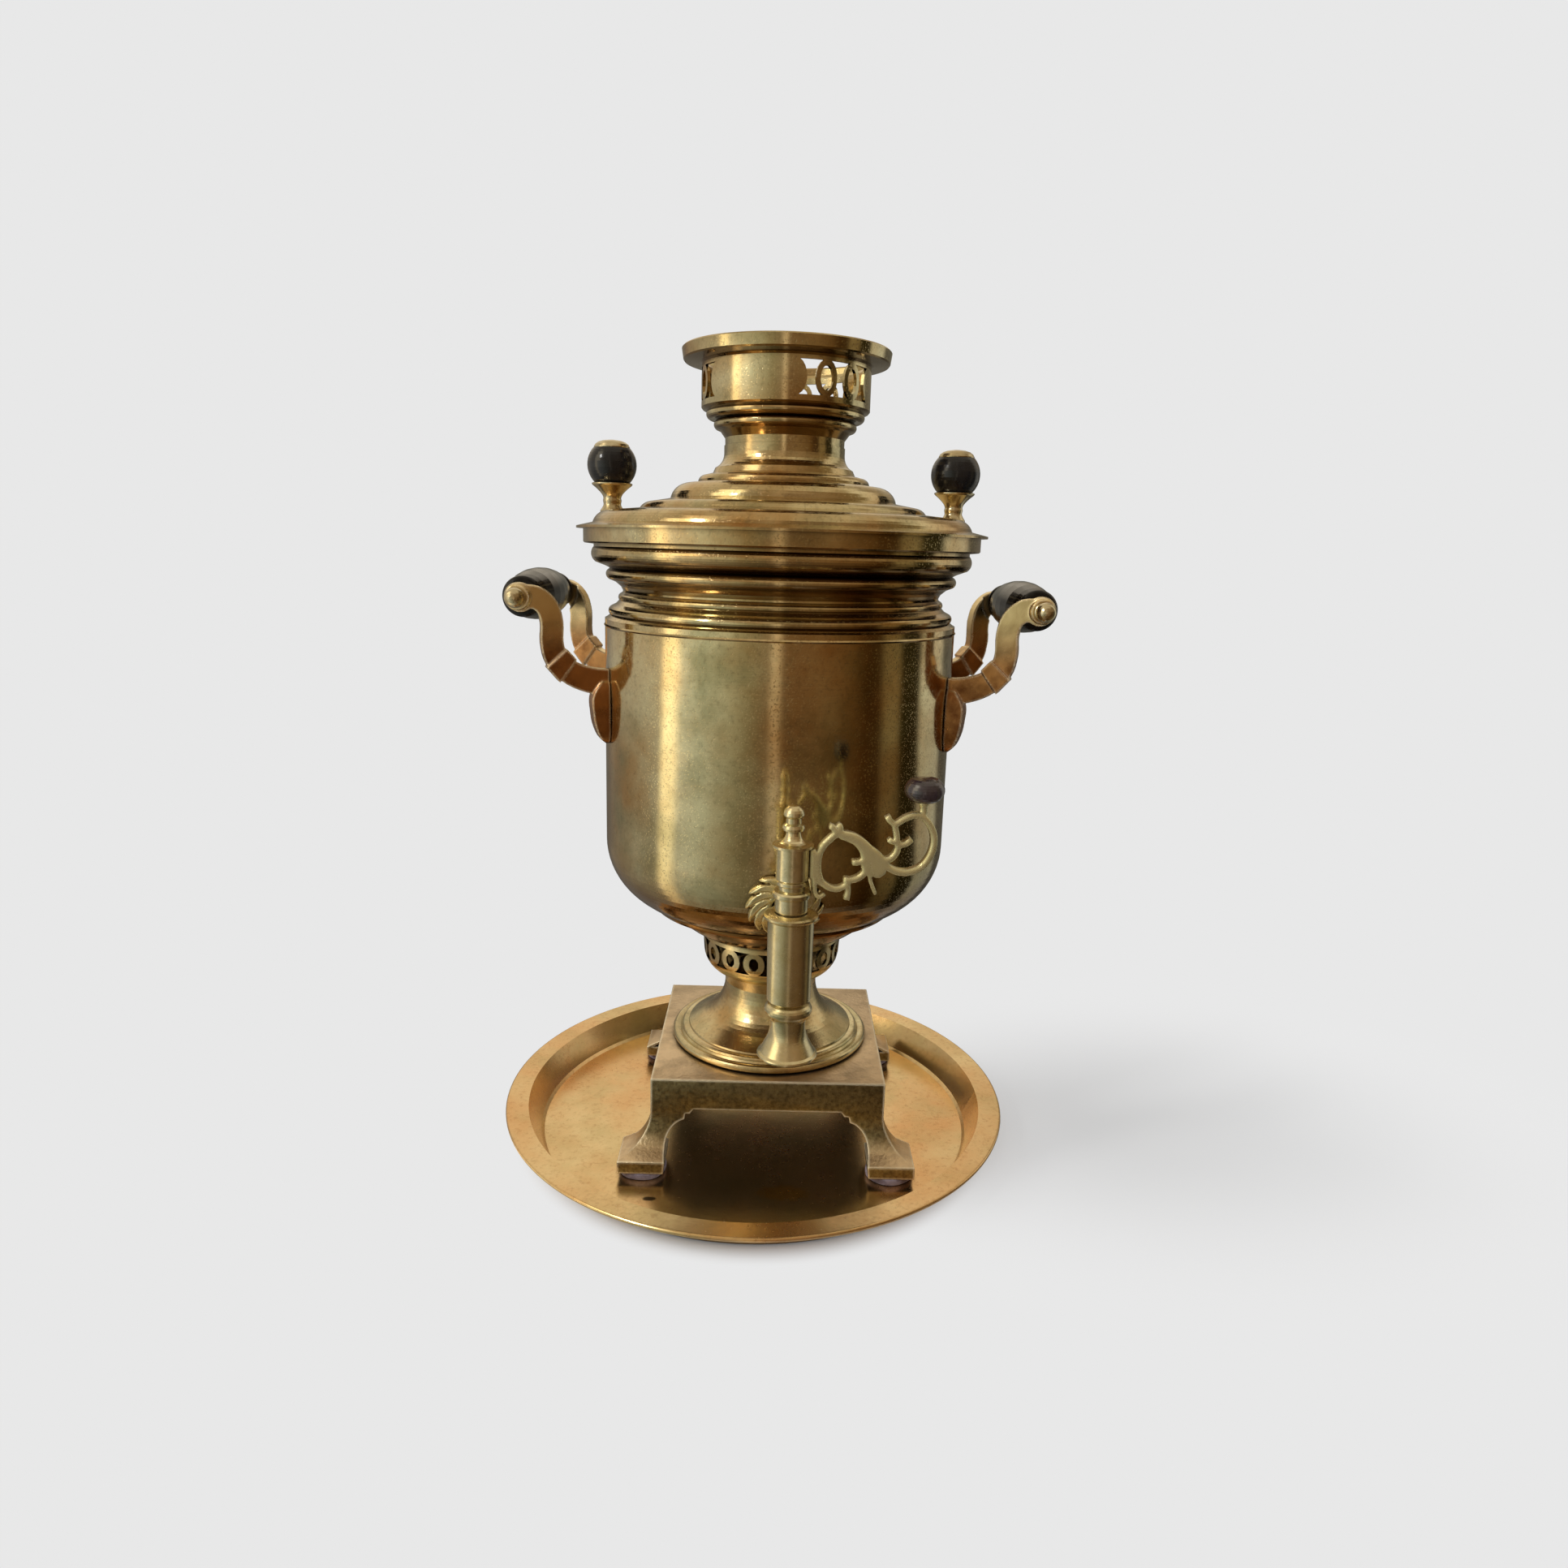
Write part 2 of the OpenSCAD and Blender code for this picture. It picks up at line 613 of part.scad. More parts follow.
function stand_outer() = concat(
    [[spigot_r, -spigot_h], [spigot_r, 0], [lid_neck_r - 0.5, 0], [lid_neck_r - 0.4, 4],
     [lid_neck_r + 2.4, 7.8]],
    arc(lid_neck_r + 3.3, 11, 2.7, -58, 58, 7),
    [[lid_neck_r + 4.6, 13.8]],
    arc(stand_r - 5.5, 16.4, 2.8, -78, 34, 6),
    [[stand_r - 0.8, 18.8], [stand_r, 19.8], [stand_r, 42], [stand_r + 1, 43],
     [stand_lip_r - 1.4, 43.8], [stand_lip_r - 0.8, 44.6], [stand_lip_r, stand_h - 0.8],
     [stand_lip_r - 0.8, stand_h]]);

function stand_inner() = [
    [stand_lip_r - 2, stand_h], [stand_lip_r - 2.6, stand_h - 0.8],
    [stand_lip_r - 3.2, 45.6], [stand_r - 0.6, 45], [stand_r - stand_t, 43.4],
    [stand_r - stand_t, 20.6], [stand_r - 5.4, 17.4], [lid_neck_r + 3.4, 15.4],
    [lid_neck_r + 3, 13.4], [lid_neck_r + 3.4, 9.6], [lid_neck_r, 7.6],
    [spigot_r - stand_t, 5], [spigot_r - stand_t, -spigot_h]];

module stand_panel() {
    half = PI * stand_r * stand_pitch / 360;
    for (i = [-0.5, 0.5]) rotate([0, 0, i * stand_pitch])
        translate([0, -stand_r, stand_band_z]) upright(12)
            polygon(oval(half - 4.9, stand_band_h / 2 - 2.4, 12));
    for (i = [-1, 0, 1]) rotate([0, 0, i * stand_pitch])
        translate([0, -stand_r, stand_band_z]) upright(12)
            polygon(hourglass(half, stand_band_h, half - 2.4));
}

module teapot_stand() color("gold") difference() {
    spun(raised(concat(stand_outer(), stand_inner()), stand_z));
    for (k = [0 : stand_panels - 1]) rotate([0, 0, stand_turn + k * 360 / stand_panels])
        stand_panel();
}

// ---------------------------------------------------------------- handles

// Middle line of an arm, from the body's wall to the eye
function arm_line() = smooth([
    [body_r - 5, plate_z + 11.6], [body_r + 8, plate_z + 12.8], [body_r + 20, plate_z + 17],
    [eye_x - 19, plate_z + 24.6], [eye_x - 16.4, plate_z + 34], [eye_x - 16.6, grip_z - 13.6],
    [eye_x - 14.2, grip_z - 5], [eye_x - 8, grip_z], [eye_x, grip_z]], 4);

// Rounded tongue that spreads an arm's root over the wall
module wall_tongue() {
    half = smooth([[0, -22.6], [3.6, -21.4], [5.8, -17], [6.4, -9], [6.4, 2], [5.4, 10],
                   [3.2, 13.6], [0, 15]], 4);
    intersection() {
        translate([0, 0, plate_z]) spun(concat([[body_r + seat, -22.8]], smooth([
            [body_r + 1.6, -22.6], [body_r + 6, -18.4], [body_r + 8.8, -11], [body_r + 9.8, -4],
            [body_r + 10.2, 2], [body_r + 8.8, 7], [body_r + 5, 12.2]], 3),
            [[body_r + seat, 13.8]]));
        translate([body_r, 0, plate_z]) rotate([0, 0, 90])
            upright(40) polygon(concat(half, mirrored(half)));
    }
}

// Raised block where an arm turns upwards
module arm_corner() upright(arm_t + 2.8) polygon([
    [eye_x - 29.2, plate_z + 24.8], [eye_x - 24, plate_z + 30.6],
    [eye_x - 13, plate_z + 20.6], [eye_x - 20, plate_z + 12.4]]);

module bracket() color("goldenrod") {
    difference() {
        rotate([0, 0, -arm_turn]) {
            upright(arm_t) polygon(band(arm_line(), 15.5, 13, arm_w - 14.2));
            translate([eye_x, -arm_t / 2, grip_z]) along_y(eye_r, arm_t);
            arm_corner();
        }
        translate([0, 0, plate_z - 50]) cylinder(r = body_r + seat, h = 100);
        translate([grip_x, -boss_end - over, grip_z])
            along_y(rod_r + seat, boss_end - boss_y + 2 * over);
        translate([grip_x, -boss_y, grip_z]) along_y(eye_r + 6, 12);
        translate([grip_x, -boss_end - 12, grip_z]) along_y(nut_r + 0.6, 12);
    }
    translate([grip_x, -boss_end, grip_z]) difference() {
        along_y(boss_r, boss_end - boss_y);
        translate([0, -over, 0]) along_y(rod_r + seat, boss_end - boss_y + 2 * over);
    }
    rotate([0, 0, -arm_turn]) wall_tongue();
}

module bracket_right_front() bracket();

module bracket_right_back() back() bracket();

module bracket_left_front() left() bracket();

module bracket_left_back() left() back() bracket();

// Wooden grip turned round the rod, with a bead at each end
module grip() color("black") translate([grip_x, 0, grip_z]) rotate([90, 0, 0]) {
    end = grip_len / 2;
    half = concat(
        [[grip_r, 0], [grip_r - 0.3, end * 0.25], [grip_r - 1.3, end * 0.5],
         [grip_r - 3, end * 0.72], [grip_r - 4.4, end - 6.4], [grip_r - 5, end - 5.4]],
        arc(grip_r - 6, end - 2.8, 2.6, -70, 80, 6),
        [[grip_r - 7.4, end], [rod_r + seat, end]]);
    spun(concat([for (q = backwards(half)) [q[0], -q[1]]],
                [for (i = [1 : len(half) - 1]) half[i]]));
}

module grip_right() grip();

module grip_left() left() grip();

module rod() color("gold")
    translate([grip_x, -boss_end - 6, grip_z]) along_y(rod_r, 2 * (boss_end + 6));

module rod_right() rod();

module rod_left() left() rod();

// Ball nuts on both ends of a rod
module ball_nuts() color("gold") fore_and_aft()
    translate([grip_x, -boss_end, grip_z]) rotate([90, 0, 0]) spun(concat(
        [[rod_r + seat, 0], [4.8, 0], [4.8, 1.2], [4, 1.8]],
        arc(0, 5.8, nut_r, -42, 90, 9),
        [[0, 6 + seat], [rod_r + seat, 6 + seat]]));

module ball_nuts_right() ball_nuts();

module ball_nuts_left() left() ball_nuts();

// -------------------------------------------------------------------- tap

// Distance of the body's skin from the axis at height z
function skin_r(z) = z > belly_z ? body_r : belly_c + sqrt(belly_r * belly_r - pow(belly_z - z, 2));

// Point on the skin, x beside and z above the pipe, lifted off it by up
function on_skin(x, z, up) =
    let (r = skin_r(pipe_z + z) + up) [x, tap_out - sqrt(r * r - x * x), pipe_z + z];

// Fluted rosette: a dome of fat petals round the pipe that lies back against the belly
module tap_rosette() color("gold") difference() {
    intersection() {
        spun(concat(body_line(petal_t), [[0, body_top]], [[0, bowl_top - over]]));
        on_tap() translate(on_skin(0, 0, 9)) rotate([-90, 0, 0]) spun([
            [0, 2.6], [rosette_r * 0.5, 2.6], [rosette_r * 0.66, 3.3], [rosette_r * 0.84, 4.9],
            [rosette_r * 0.95, 7], [rosette_r, 9.6], [rosette_r, 30], [0, 30]]);
    }
    spun(concat(body_line(seat), [[0, body_top]], [[0, bowl_top - 2 * over]]));
    on_tap() {
        translate([0, 0, pipe_z]) along_y(pipe_r + seat, tap_out);
        for (i = [0 : rosette_flutes - 1]) {
            a = i * 360 / rosette_flutes;
            start = on_skin(rosette_r * 0.5 * cos(a), rosette_r * 0.5 * sin(a), petal_t + 0.4);
            end = on_skin(rosette_r * 1.08 * cos(a), rosette_r * 1.08 * sin(a), petal_t - 2.4);
            aimed(start, end, [[0, 0], [0.8, 0], [2.3, norm(end - start)],
                               [0, norm(end - start)]]);
        }
    }
}

function spout_outer() = concat(
    [[bell_r - 1.2, 0]],
    arc(bell_r - 1.2, 1.2, 1.2, -90, 70, 5),
    smooth([[bell_r - 1.4, 2.8], [bell_r - 3, 6], [waist_r + 0.9, 10.4], [waist_r, 14.6],
            [waist_r, 19.4]], 4),
    arc(spout_r - 3.8, 24.4, 4.2, -66, 66, 8),
    [[spout_r - 1.3, bell_h], [spout_r - 0.6, bell_h + 0.4],
     [spout_r, bell_h + spout_len - 1], [flange_r - 0.6, bell_h + spout_len],
     [flange_r, bell_h + spout_len + 0.6], [flange_r, bell_h + spout_len + 1.6],
     [flange_r - 1, bell_h + spout_len + 2.2], [flange_r - 3.4, bell_h + spout_len + flange_h]]);

module tap_body() color("gold") on_tap() difference() {
    union() {
        translate([0, 0, spout_z - bell_h]) spun(concat(
            spout_outer(), [[0, bell_h + spout_len + flange_h], [0, 0]]));
        translate([0, 0, pipe_z]) along_y(pipe_r, tap_out - body_r + 14);
    }
    spun([[0, spout_z - bell_h - over], [bell_r - 3, spout_z - bell_h - over],
          [bell_r - 3, spout_z - bell_h + 1], [port_r + 2, spout_z - bell_h + 17],
          [port_r + 2, plug_z - gap], [0, plug_z - gap]]);
    spun([[0, plug_z - gap - over], [plug_r - plug_len * plug_taper + run_gap, plug_z - gap - over],
          [plug_r - plug_len * plug_taper + run_gap, plug_z],
          [plug_r + run_gap, socket_top], [plug_r + run_gap, socket_top + over],
          [0, socket_top + over]]);
    translate([0, 0, pipe_z]) along_y(pipe_bore_r, tap_out);
}

// Hollow plug with its side port, head and finial, turned from one bar
module tap_plug() color("gold") on_tap() difference() {
    spun(concat(
        [[0, plug_z], [plug_r - plug_len * plug_taper, plug_z], [plug_r, socket_top]],
        raised([[plug_r, 0.3], [plug_r + 0.6, 0.6], [plug_r + 0.6, 7], [ring_r - 0.4, 7.6],
                [ring_r, 8.6], [ring_r, 9.8], [ring_r - 0.8, 10.6], [hub_r - 1.6, 11.2],
                [hub_r - 1.6, 13], [hub_r - 0.5, 13.8], [hub_r - 0.5, 15.2],
                [hub_r - 1.1, 15.8]], socket_top),
        raised(concat(
            [[hub_r, 0], [hub_r, hub_h], [hub_r + 1.9, hub_h + 0.6],
             [hub_r + 1.9, hub_h + 1.8]],
            arc(hub_r + 1.2, hub_h + 7.6, 5.6, 256, 184, 6),
            [[3.5, 23], [5, 23.6], [5.4, 24.8], [5, 26.2], [3.7, 27], [3.6, 29.4],
             [4.7, 30.4]],
            arc(0, 31, 5, 0, 90, 6)), hub_z)));
    translate([0, 0, plug_z - over]) cylinder(r = port_r, h = pipe_z + port_r - plug_z + over);
    translate([0, 0, pipe_z]) rotate([0, -90, 0]) cylinder(r = port_r, h = 2 * plug_r);
}

// Band of the key's scroll work through points given from the hub's face
module scroll(points, w0, w1, wm = 0) {
    polygon(band(smooth([for (q = points) [hub_r + q[0] * key_s, key_z + q[1] * key_s]]),
                 w0, w1, wm));
}

// Scroll key: a C scroll and a second, larger one, joined by a leaf
module tap_key() color("gold") on_tap() {
    b = key_bar;
    upright(key_t) {
        translate([hub_r + seat, hub_z + 0.5]) square([2.6, hub_h - 1]);
        scroll([[1.8, 3.4], [3.6, 1.4], [5.9, -0.4]], b, b);
        scroll([[1.8, 12.4], [3.2, 13], [4.6, 14]], b, b * 0.8);
        scroll([[5.9, -0.4], [4.2, 4.8], [4, 11.6], [5.6, 16.8], [8.8, 20.6], [12.2, 23.4],
                [16.4, 23.4], [21, 22.2], [25.4, 19.2], [29.4, 15.4], [33.4, 11.8], [37, 11],
                [40, 13.2], [41.6, 16.8], [41, 21.4], [40.2, 25.8], [39.4, 28.2]],
               b, b * 0.8, b * 0.15);
        scroll([[5.9, -0.2], [9.4, -2.6], [13.4, -3.4], [17.2, -1.8], [19.2, 0.8]], b, b * 0.8);
        scroll([[16.6, 1.2], [19.8, 0.9], [23.6, 2.2], [26.2, 4.6], [27.1, 7]], b * 0.9, b);
        scroll([[14, 22.4], [21, 20.2], [25.4, 15.8], [26.6, 11], [27, 6.4], [30.2, 3.4]],
               b * 0.7, b, b * 0.6);
        scroll([[25.6, 18], [30.6, 11.6], [32.8, 6.2], [34.6, 3.4]], b * 0.8, b * 1.2, b * 2.4);
        scroll([[26.4, 11.3], [23.5, 9.9], [20.3, 9.7]], b * 0.8, b * 0.9);
        scroll([[28.4, 6], [29.3, 0.6], [31.9, -5.8]], b * 0.6, b * 0.45);
        scroll([[12.6, 23], [10.8, 26.4], [9, 27.4]], b * 0.9, b * 0.9);
        scroll([[12.6, 23], [14, 26.6], [12.8, 28.2]], b * 0.9, b * 0.8);
        scroll([[18.7, 0], [18.7, -5], [18.1, -8.6]], b * 0.6, b);
        scroll([[34.4, 10], [39.4, 6.2], [44, 5], [48.4, 5.4], [53.4, 7.8], [57, 12.6],
                [58.7, 18.6], [58.1, 24.6], [54.9, 30.2], [50.4, 33], [45.4, 31.9],
                [40.2, 28.6]], b, b * 0.85, b * 0.15);
        scroll([[40.4, 28], [37.5, 29.9], [36, 32.4]], b * 0.7, b);
        scroll([[41.2, 19.8], [38.7, 20.1], [37.1, 21.2]], b * 0.8, b * 0.8);
        scroll([[41.6, 18.4], [44.8, 18.9], [48, 21.2]], b * 0.8, b * 0.9);
        scroll([[2.2, 3], [2.6, -1.5], [2.9, -5], [4.9, -7.4], [7.5, -5.8]], b * 0.8, b * 0.6);
    }
    translate([key_reach, 0, 0]) {
        translate([0, 0, knob_z - 8]) cylinder(r = pin_r, h = 16);
        translate([0, 0, knob_z - 2.4]) cylinder(r1 = pin_r, r2 = 2.8, h = 2.4 - seat);
    }
}

module tap_knob() color("saddlebrown") on_tap() translate([key_reach, 0, knob_z]) {
    r = key_knob_d / 2;
    spun(concat(
        [[pin_r + seat, 0], [4.6, 0]],
        arc(r - knob_h / 2, knob_h / 2, knob_h / 2, -72, 66, 10),
        [[3.4, knob_h - 0.2], [0, knob_h], [0, 8 + seat], [pin_r + seat, 8 + seat]]));
}

// ------------------------------------------------------------------ nodes

tray();
plinth();
foot_pads();
pedestal();
blower_collar();
bottom_bowl();
body_shell();
crown_ring();
fire_tube();
grate();
lid();
lid_stem_left();
lid_stem_right();
lid_ball_left();
lid_ball_right();
lid_cap_left();
lid_cap_right();
lid_nuts();
vent_seat();
vent_cap();
teapot_stand();
bracket_left_front();
bracket_left_back();
bracket_right_front();
bracket_right_back();
grip_left();
grip_right();
rod_left();
rod_right();
ball_nuts_left();
ball_nuts_right();
tap_rosette();
tap_body();
tap_plug();
tap_key();
tap_knob();
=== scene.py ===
"""Looks of a cylindrical charcoal samovar of brass that stands on its round tray.

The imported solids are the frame.  Each sub-assembly is a class that holds its sizes in
millimetres, models the pieces that need more than the solids show, and dresses the rest.
"""

from __future__ import annotations

import json
import logging
import math
import random
from dataclasses import dataclass, field
from enum import Enum

import bpy
from mathutils import Matrix, Vector


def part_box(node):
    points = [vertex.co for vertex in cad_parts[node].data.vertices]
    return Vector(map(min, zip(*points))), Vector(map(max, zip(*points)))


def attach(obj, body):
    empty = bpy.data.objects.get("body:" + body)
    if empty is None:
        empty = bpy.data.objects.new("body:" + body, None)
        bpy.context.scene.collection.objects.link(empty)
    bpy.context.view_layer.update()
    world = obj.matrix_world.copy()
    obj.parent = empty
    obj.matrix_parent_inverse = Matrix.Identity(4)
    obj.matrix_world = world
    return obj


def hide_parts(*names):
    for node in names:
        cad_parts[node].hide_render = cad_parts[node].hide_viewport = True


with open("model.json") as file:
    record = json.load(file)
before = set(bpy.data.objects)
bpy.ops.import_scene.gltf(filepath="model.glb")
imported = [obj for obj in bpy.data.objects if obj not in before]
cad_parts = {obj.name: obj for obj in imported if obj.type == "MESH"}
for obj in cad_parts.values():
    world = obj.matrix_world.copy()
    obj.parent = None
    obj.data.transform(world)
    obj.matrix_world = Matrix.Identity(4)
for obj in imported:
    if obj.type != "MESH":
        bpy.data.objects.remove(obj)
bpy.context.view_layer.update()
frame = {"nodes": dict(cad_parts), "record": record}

LOG = logging.getLogger("samovar")
MM = 0.001
TAP_TURN = math.radians(3.5)
TAP_OUT = 140.0
TAP_CENTRE = (TAP_OUT * math.sin(TAP_TURN), -TAP_OUT * math.cos(TAP_TURN), 0.0)
# Faces that meet at less than this are shaded as one.
SMOOTH_ANGLE = math.radians(38.0)
# Packed points closer than this are one.
MERGE_MM = 0.004
# A face lies flat when its normal's upward part is more than this.
FLAT = 0.9

Tree = bpy.types.NodeTree
Socket = bpy.types.NodeSocket
Colour = tuple[float, float, float, float]
Place = tuple[float, float, float]
Span = tuple[float, float]
Stops = list[tuple[float, Colour]]
Bearings = list[tuple[float, str]]
WINDOW = "#FFEFCE"


class Marks(Enum):
    """How the tool that finished a surface has marked it, by the marks' depth in mm."""

    TURNED = 0.035
    ROLLED = 0.05
    SPUN = 0.022


# ------------------------------------------------------------------ helpers


def linear(colour: str) -> Colour:
    """Turns an sRGB hex colour into linear RGBA.

    Args:
        colour: six hex digits after a hash.

    Returns:
        The linear colour with an alpha of one.
    """
    parts = [int(colour[i:i + 2], 16) / 255 for i in (1, 3, 5)]
    low = [p / 12.92 if p <= 0.04045 else ((p + 0.055) / 1.055) ** 2.4 for p in parts]
    return (low[0], low[1], low[2], 1.0)


def grey(value: float) -> Colour:
    """Makes a linear grey.

    Args:
        value: its brightness, 0 for black and 1 for white.

    Returns:
        The grey with an alpha of one.
    """
    return (value, value, value, 1.0)


def add_node(tree: Tree, kind: str, inputs: dict | None = None, out: int | str = 0,
             stops: Stops | None = None, **settings: object) -> Socket | None:
    """Adds a shader node with its settings, its fixed inputs and its links.

    Args:
        tree: the node tree.
        kind: the node's type without its common prefix.
        inputs: sockets to link or values to set, by the input's name or number.
        out: name or number of the output that is handed back.
        stops: positions and linear colours of a colour ramp, in rising order.
        **settings: the node's attributes.

    Returns:
        The chosen output, or None where the node has none.
    """
    node = tree.nodes.new("ShaderNode" + kind)
    for name, value in settings.items():
        setattr(node, name, value)
    for name, value in (inputs or {}).items():
        if isinstance(value, Socket):
            tree.links.new(value, node.inputs[name])
        else:
            node.inputs[name].default_value = value
    if stops:
        elements = node.color_ramp.elements
        elements[0].position, elements[0].color = stops[0]
        elements[1].position, elements[1].color = stops[-1]
        for position, colour in stops[1:-1]:
            elements.new(position).color = colour
    return node.outputs[out] if node.outputs else None


def blend(tree: Tree, share: Socket, below: Socket | str, above: Socket | str) -> Socket:
    """Lays one colour over another.

    Args:
        tree: the node tree.
        share: how much of the upper colour shows.
        below: the lower colour, as a socket or in sRGB hex.
        above: the upper colour, as a socket or in sRGB hex.

    Returns:
        The mixed colour.
    """
    below, above = (linear(c) if isinstance(c, str) else c for c in (below, above))
    return add_node(tree, "Mix", {0: share, 6: below, 7: above}, 2, data_type="RGBA")


def ramp(tree: Tree, value: Socket, start: float, end: float, low: float = 0.0,
         high: float = 1.0) -> Socket:
    """Adds a straight ramp from one grey to another.

    Args:
        tree: the node tree.
        value: what the ramp reads.
        start: value where the ramp starts.
        end: value where it ends.
        low: the grey up to the start.
        high: the grey from the end on.

    Returns:
        The grey.
    """
    return add_node(tree, "ValToRGB", {"Fac": value},
                    stops=[(start, grey(low)), (end, grey(high))])


def ease(tree: Tree, value: Socket, start: float, end: float, low: float = 0.0,
         high: float = 1.0) -> Socket:
    """Adds a smooth step, which may run outside 0 to 1.

    Args:
        tree: the node tree.
        value: what the step reads.
        start: value where the step starts.
        end: value where it ends.
        low: the result up to the start.
        high: the result from the end on.

    Returns:
        The stepped value.
    """
    return add_node(tree, "MapRange", {
        "Value": value, "From Min": start, "From Max": end, "To Min": low,
        "To Max": high}, interpolation_type="SMOOTHSTEP")


def calc(tree: Tree, operation: str, *terms: Socket | float, **settings: object) -> Socket:
    """Adds one step of arithmetic.

    Args:
        tree: the node tree.
        operation: its name.
        *terms: sockets or numbers, in the operation's order.
        **settings: the node's other attributes.

    Returns:
        The result.
    """
    return add_node(tree, "Math", dict(enumerate(terms)), operation=operation, **settings)


def length_of(tree: Tree, vector: Socket) -> Socket:
    """Adds the measuring of a vector.

    Args:
        tree: the node tree.
        vector: the vector.

    Returns:
        Its length.
    """
    return add_node(tree, "VectorMath", {0: vector}, "Value", operation="LENGTH")


def noise(tree: Tree, place: Socket, size_mm: float, detail: float,
          roughness: float = 0.5) -> Socket:
    """Adds noise whose blots are about size_mm across.

    Args:
        tree: the node tree.
        place: the coordinates.
        size_mm: size of a blot.
        detail: octaves.
        roughness: how much the finer octaves count.

    Returns:
        The noise's value.
    """
    return add_node(tree, "TexNoise", {
        "Scale": 1.0 / MM / size_mm, "Detail": detail, "Roughness": roughness,
        "Vector": place})


def facing_up(tree: Tree) -> Socket:
    """Adds the reading of how far a surface faces upward.

    Args:
        tree: the node tree.

    Returns:
        1 on a top, 0 on an upright side and -1 on an underside.
    """
    return add_node(tree, "SeparateXYZ",
                    {0: add_node(tree, "NewGeometry", out="Normal")}, "Z")


def crevices(tree: Tree, reach_mm: float) -> Socket:
    """Adds the reading of how open a place lies.

    Args:
        tree: the node tree.
        reach_mm: distance within which other surfaces count.

    Returns:
        1 in the open, near 0 in a narrow corner.
    """
    return add_node(tree, "AmbientOcclusion", {"Distance": reach_mm * MM}, "AO", samples=8)


def bumped(tree: Tree, height: Socket, strength: float, depth_mm: float,
           normal: Socket | None = None) -> Socket:
    """Adds relief to a normal.

    Args:
        tree: the node tree.
        height: the relief, from 0 to 1.
        strength: share of the relief that shows.
        depth_mm: height of the relief.
        normal: the normal to start from, or None for the surface's own.

    Returns:
        The new normal.
    """
    inputs = {"Strength": strength, "Distance": depth_mm * MM, "Height": height}
    if normal is not None:
        inputs["Normal"] = normal
    return add_node(tree, "Bump", inputs)


def rounded(tree: Tree, radius_mm: float) -> Socket:
    """Adds a normal that is rounded beside edges.

    Args:
        tree: the node tree.
        radius_mm: radius of the rounding.

    Returns:
        The normal.
    """
    return add_node(tree, "Bevel", {"Radius": radius_mm * MM}, samples=6)


def new_material(name: str) -> tuple[bpy.types.Material, Tree]:
    """Starts an empty node material.

    Args:
        name: the material's name.

    Returns:
        The material and its node tree.
    """
    material = bpy.data.materials.new(name)
    material.use_nodes = True
    material.node_tree.nodes.clear()
    return material, material.node_tree


def deselect() -> None:
    """Leaves nothing selected."""
    bpy.ops.object.select_all(action="DESELECT")


def take(piece: bpy.types.Object) -> None:
    """Makes a piece the only selected and active object.

    Args:
        piece: the piece.
    """
    deselect()
    piece.select_set(True)
    bpy.context.view_layer.objects.active = piece


def settle() -> None:
    """Moves the active object's place, turn and scale into its mesh."""
    bpy.ops.object.transform_apply(location=True, rotation=True, scale=True)


def join(pieces: list[bpy.types.Object], name: str) -> bpy.types.Object:
    """Joins meshes into the first of them.

    Args:
        pieces: the objects.
        name: name of the result.

    Returns:
        The joined object.
    """
    take(pieces[0])
    for piece in pieces:
        piece.select_set(True)
    bpy.ops.object.join()
    pieces[0].name = name
    return pieces[0]


def finish_with(piece: bpy.types.Object, kind: str, **settings: object) -> None:
    """Adds a modifier to a piece and applies it.

    Args:
        piece: the piece.
        kind: the modifier's type.
        **settings: the modifier's attributes.
    """
    take(piece)
    modifier = piece.modifiers.new(kind.lower(), kind)
    for name, value in settings.items():
        setattr(modifier, name, value)
    bpy.ops.object.modifier_apply(modifier=modifier.name)


def soften(piece: bpy.types.Object, voxel_mm: float, passes: int) -> None:
    """Melts a casting's sharp edges and its seams into one skin.

    Args:
        piece: the piece.
        voxel_mm: size of the voxels that the skin is rebuilt from.
        passes: how often it is smoothed.
    """
    finish_with(piece, "REMESH", mode="VOXEL", voxel_size=voxel_mm * MM)
    finish_with(piece, "SMOOTH", factor=0.5, iterations=passes)


def merged_copy(node: str, name: str, flat: float = 0.5) -> bpy.types.Object:
    """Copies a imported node's mesh into a new object with its triangles joined.

    Args:
        node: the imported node.
        name: the new object's name.
        flat: angle in degrees up to which neighbouring faces become one.

    Returns:
        The new object, in the same place.
    """
    piece = bpy.data.objects.new(name, frame["nodes"][node].data.copy())
    bpy.context.scene.collection.objects.link(piece)
    take(piece)
    bpy.ops.mesh.customdata_custom_splitnormals_clear()
    bpy.ops.object.mode_set(mode="EDIT")
    bpy.ops.mesh.select_all(action="SELECT")
    bpy.ops.mesh.remove_doubles(threshold=MERGE_MM * MM)
    bpy.ops.mesh.dissolve_limited(angle_limit=math.radians(flat))
    bpy.ops.mesh.normals_make_consistent(inside=False)
    bpy.ops.object.mode_set(mode="OBJECT")
    return piece


def dress(node: str, material: bpy.types.Material) -> None:
    """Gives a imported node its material.

    Args:
        node: the node's name.
        material: what it is made of.
    """
    for slot in frame["nodes"][node].material_slots:
        slot.material = material
    LOG.info("dressed %s in %s", node, material.name)


def hand_over(piece: bpy.types.Object, node: str, material: bpy.types.Material) -> None:
    """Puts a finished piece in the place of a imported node.

    Args:
        piece: the piece.
        node: the node that it stands for.
        material: what it is made of.
    """
    take(piece)
    bpy.ops.object.shade_smooth_by_angle(angle=SMOOTH_ANGLE)
    piece.data.materials.clear()
    piece.data.materials.append(material)
    body = next(name for name, nodes in frame["record"]["behaviour"]["bodies"].items()
                if node in nodes)
    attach(piece, body)
    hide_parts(node)
    dress(node, material)
    LOG.info("modelled %s: %d faces", piece.name, len(piece.data.polygons))


# ----------------------------------------------------------------- finishes


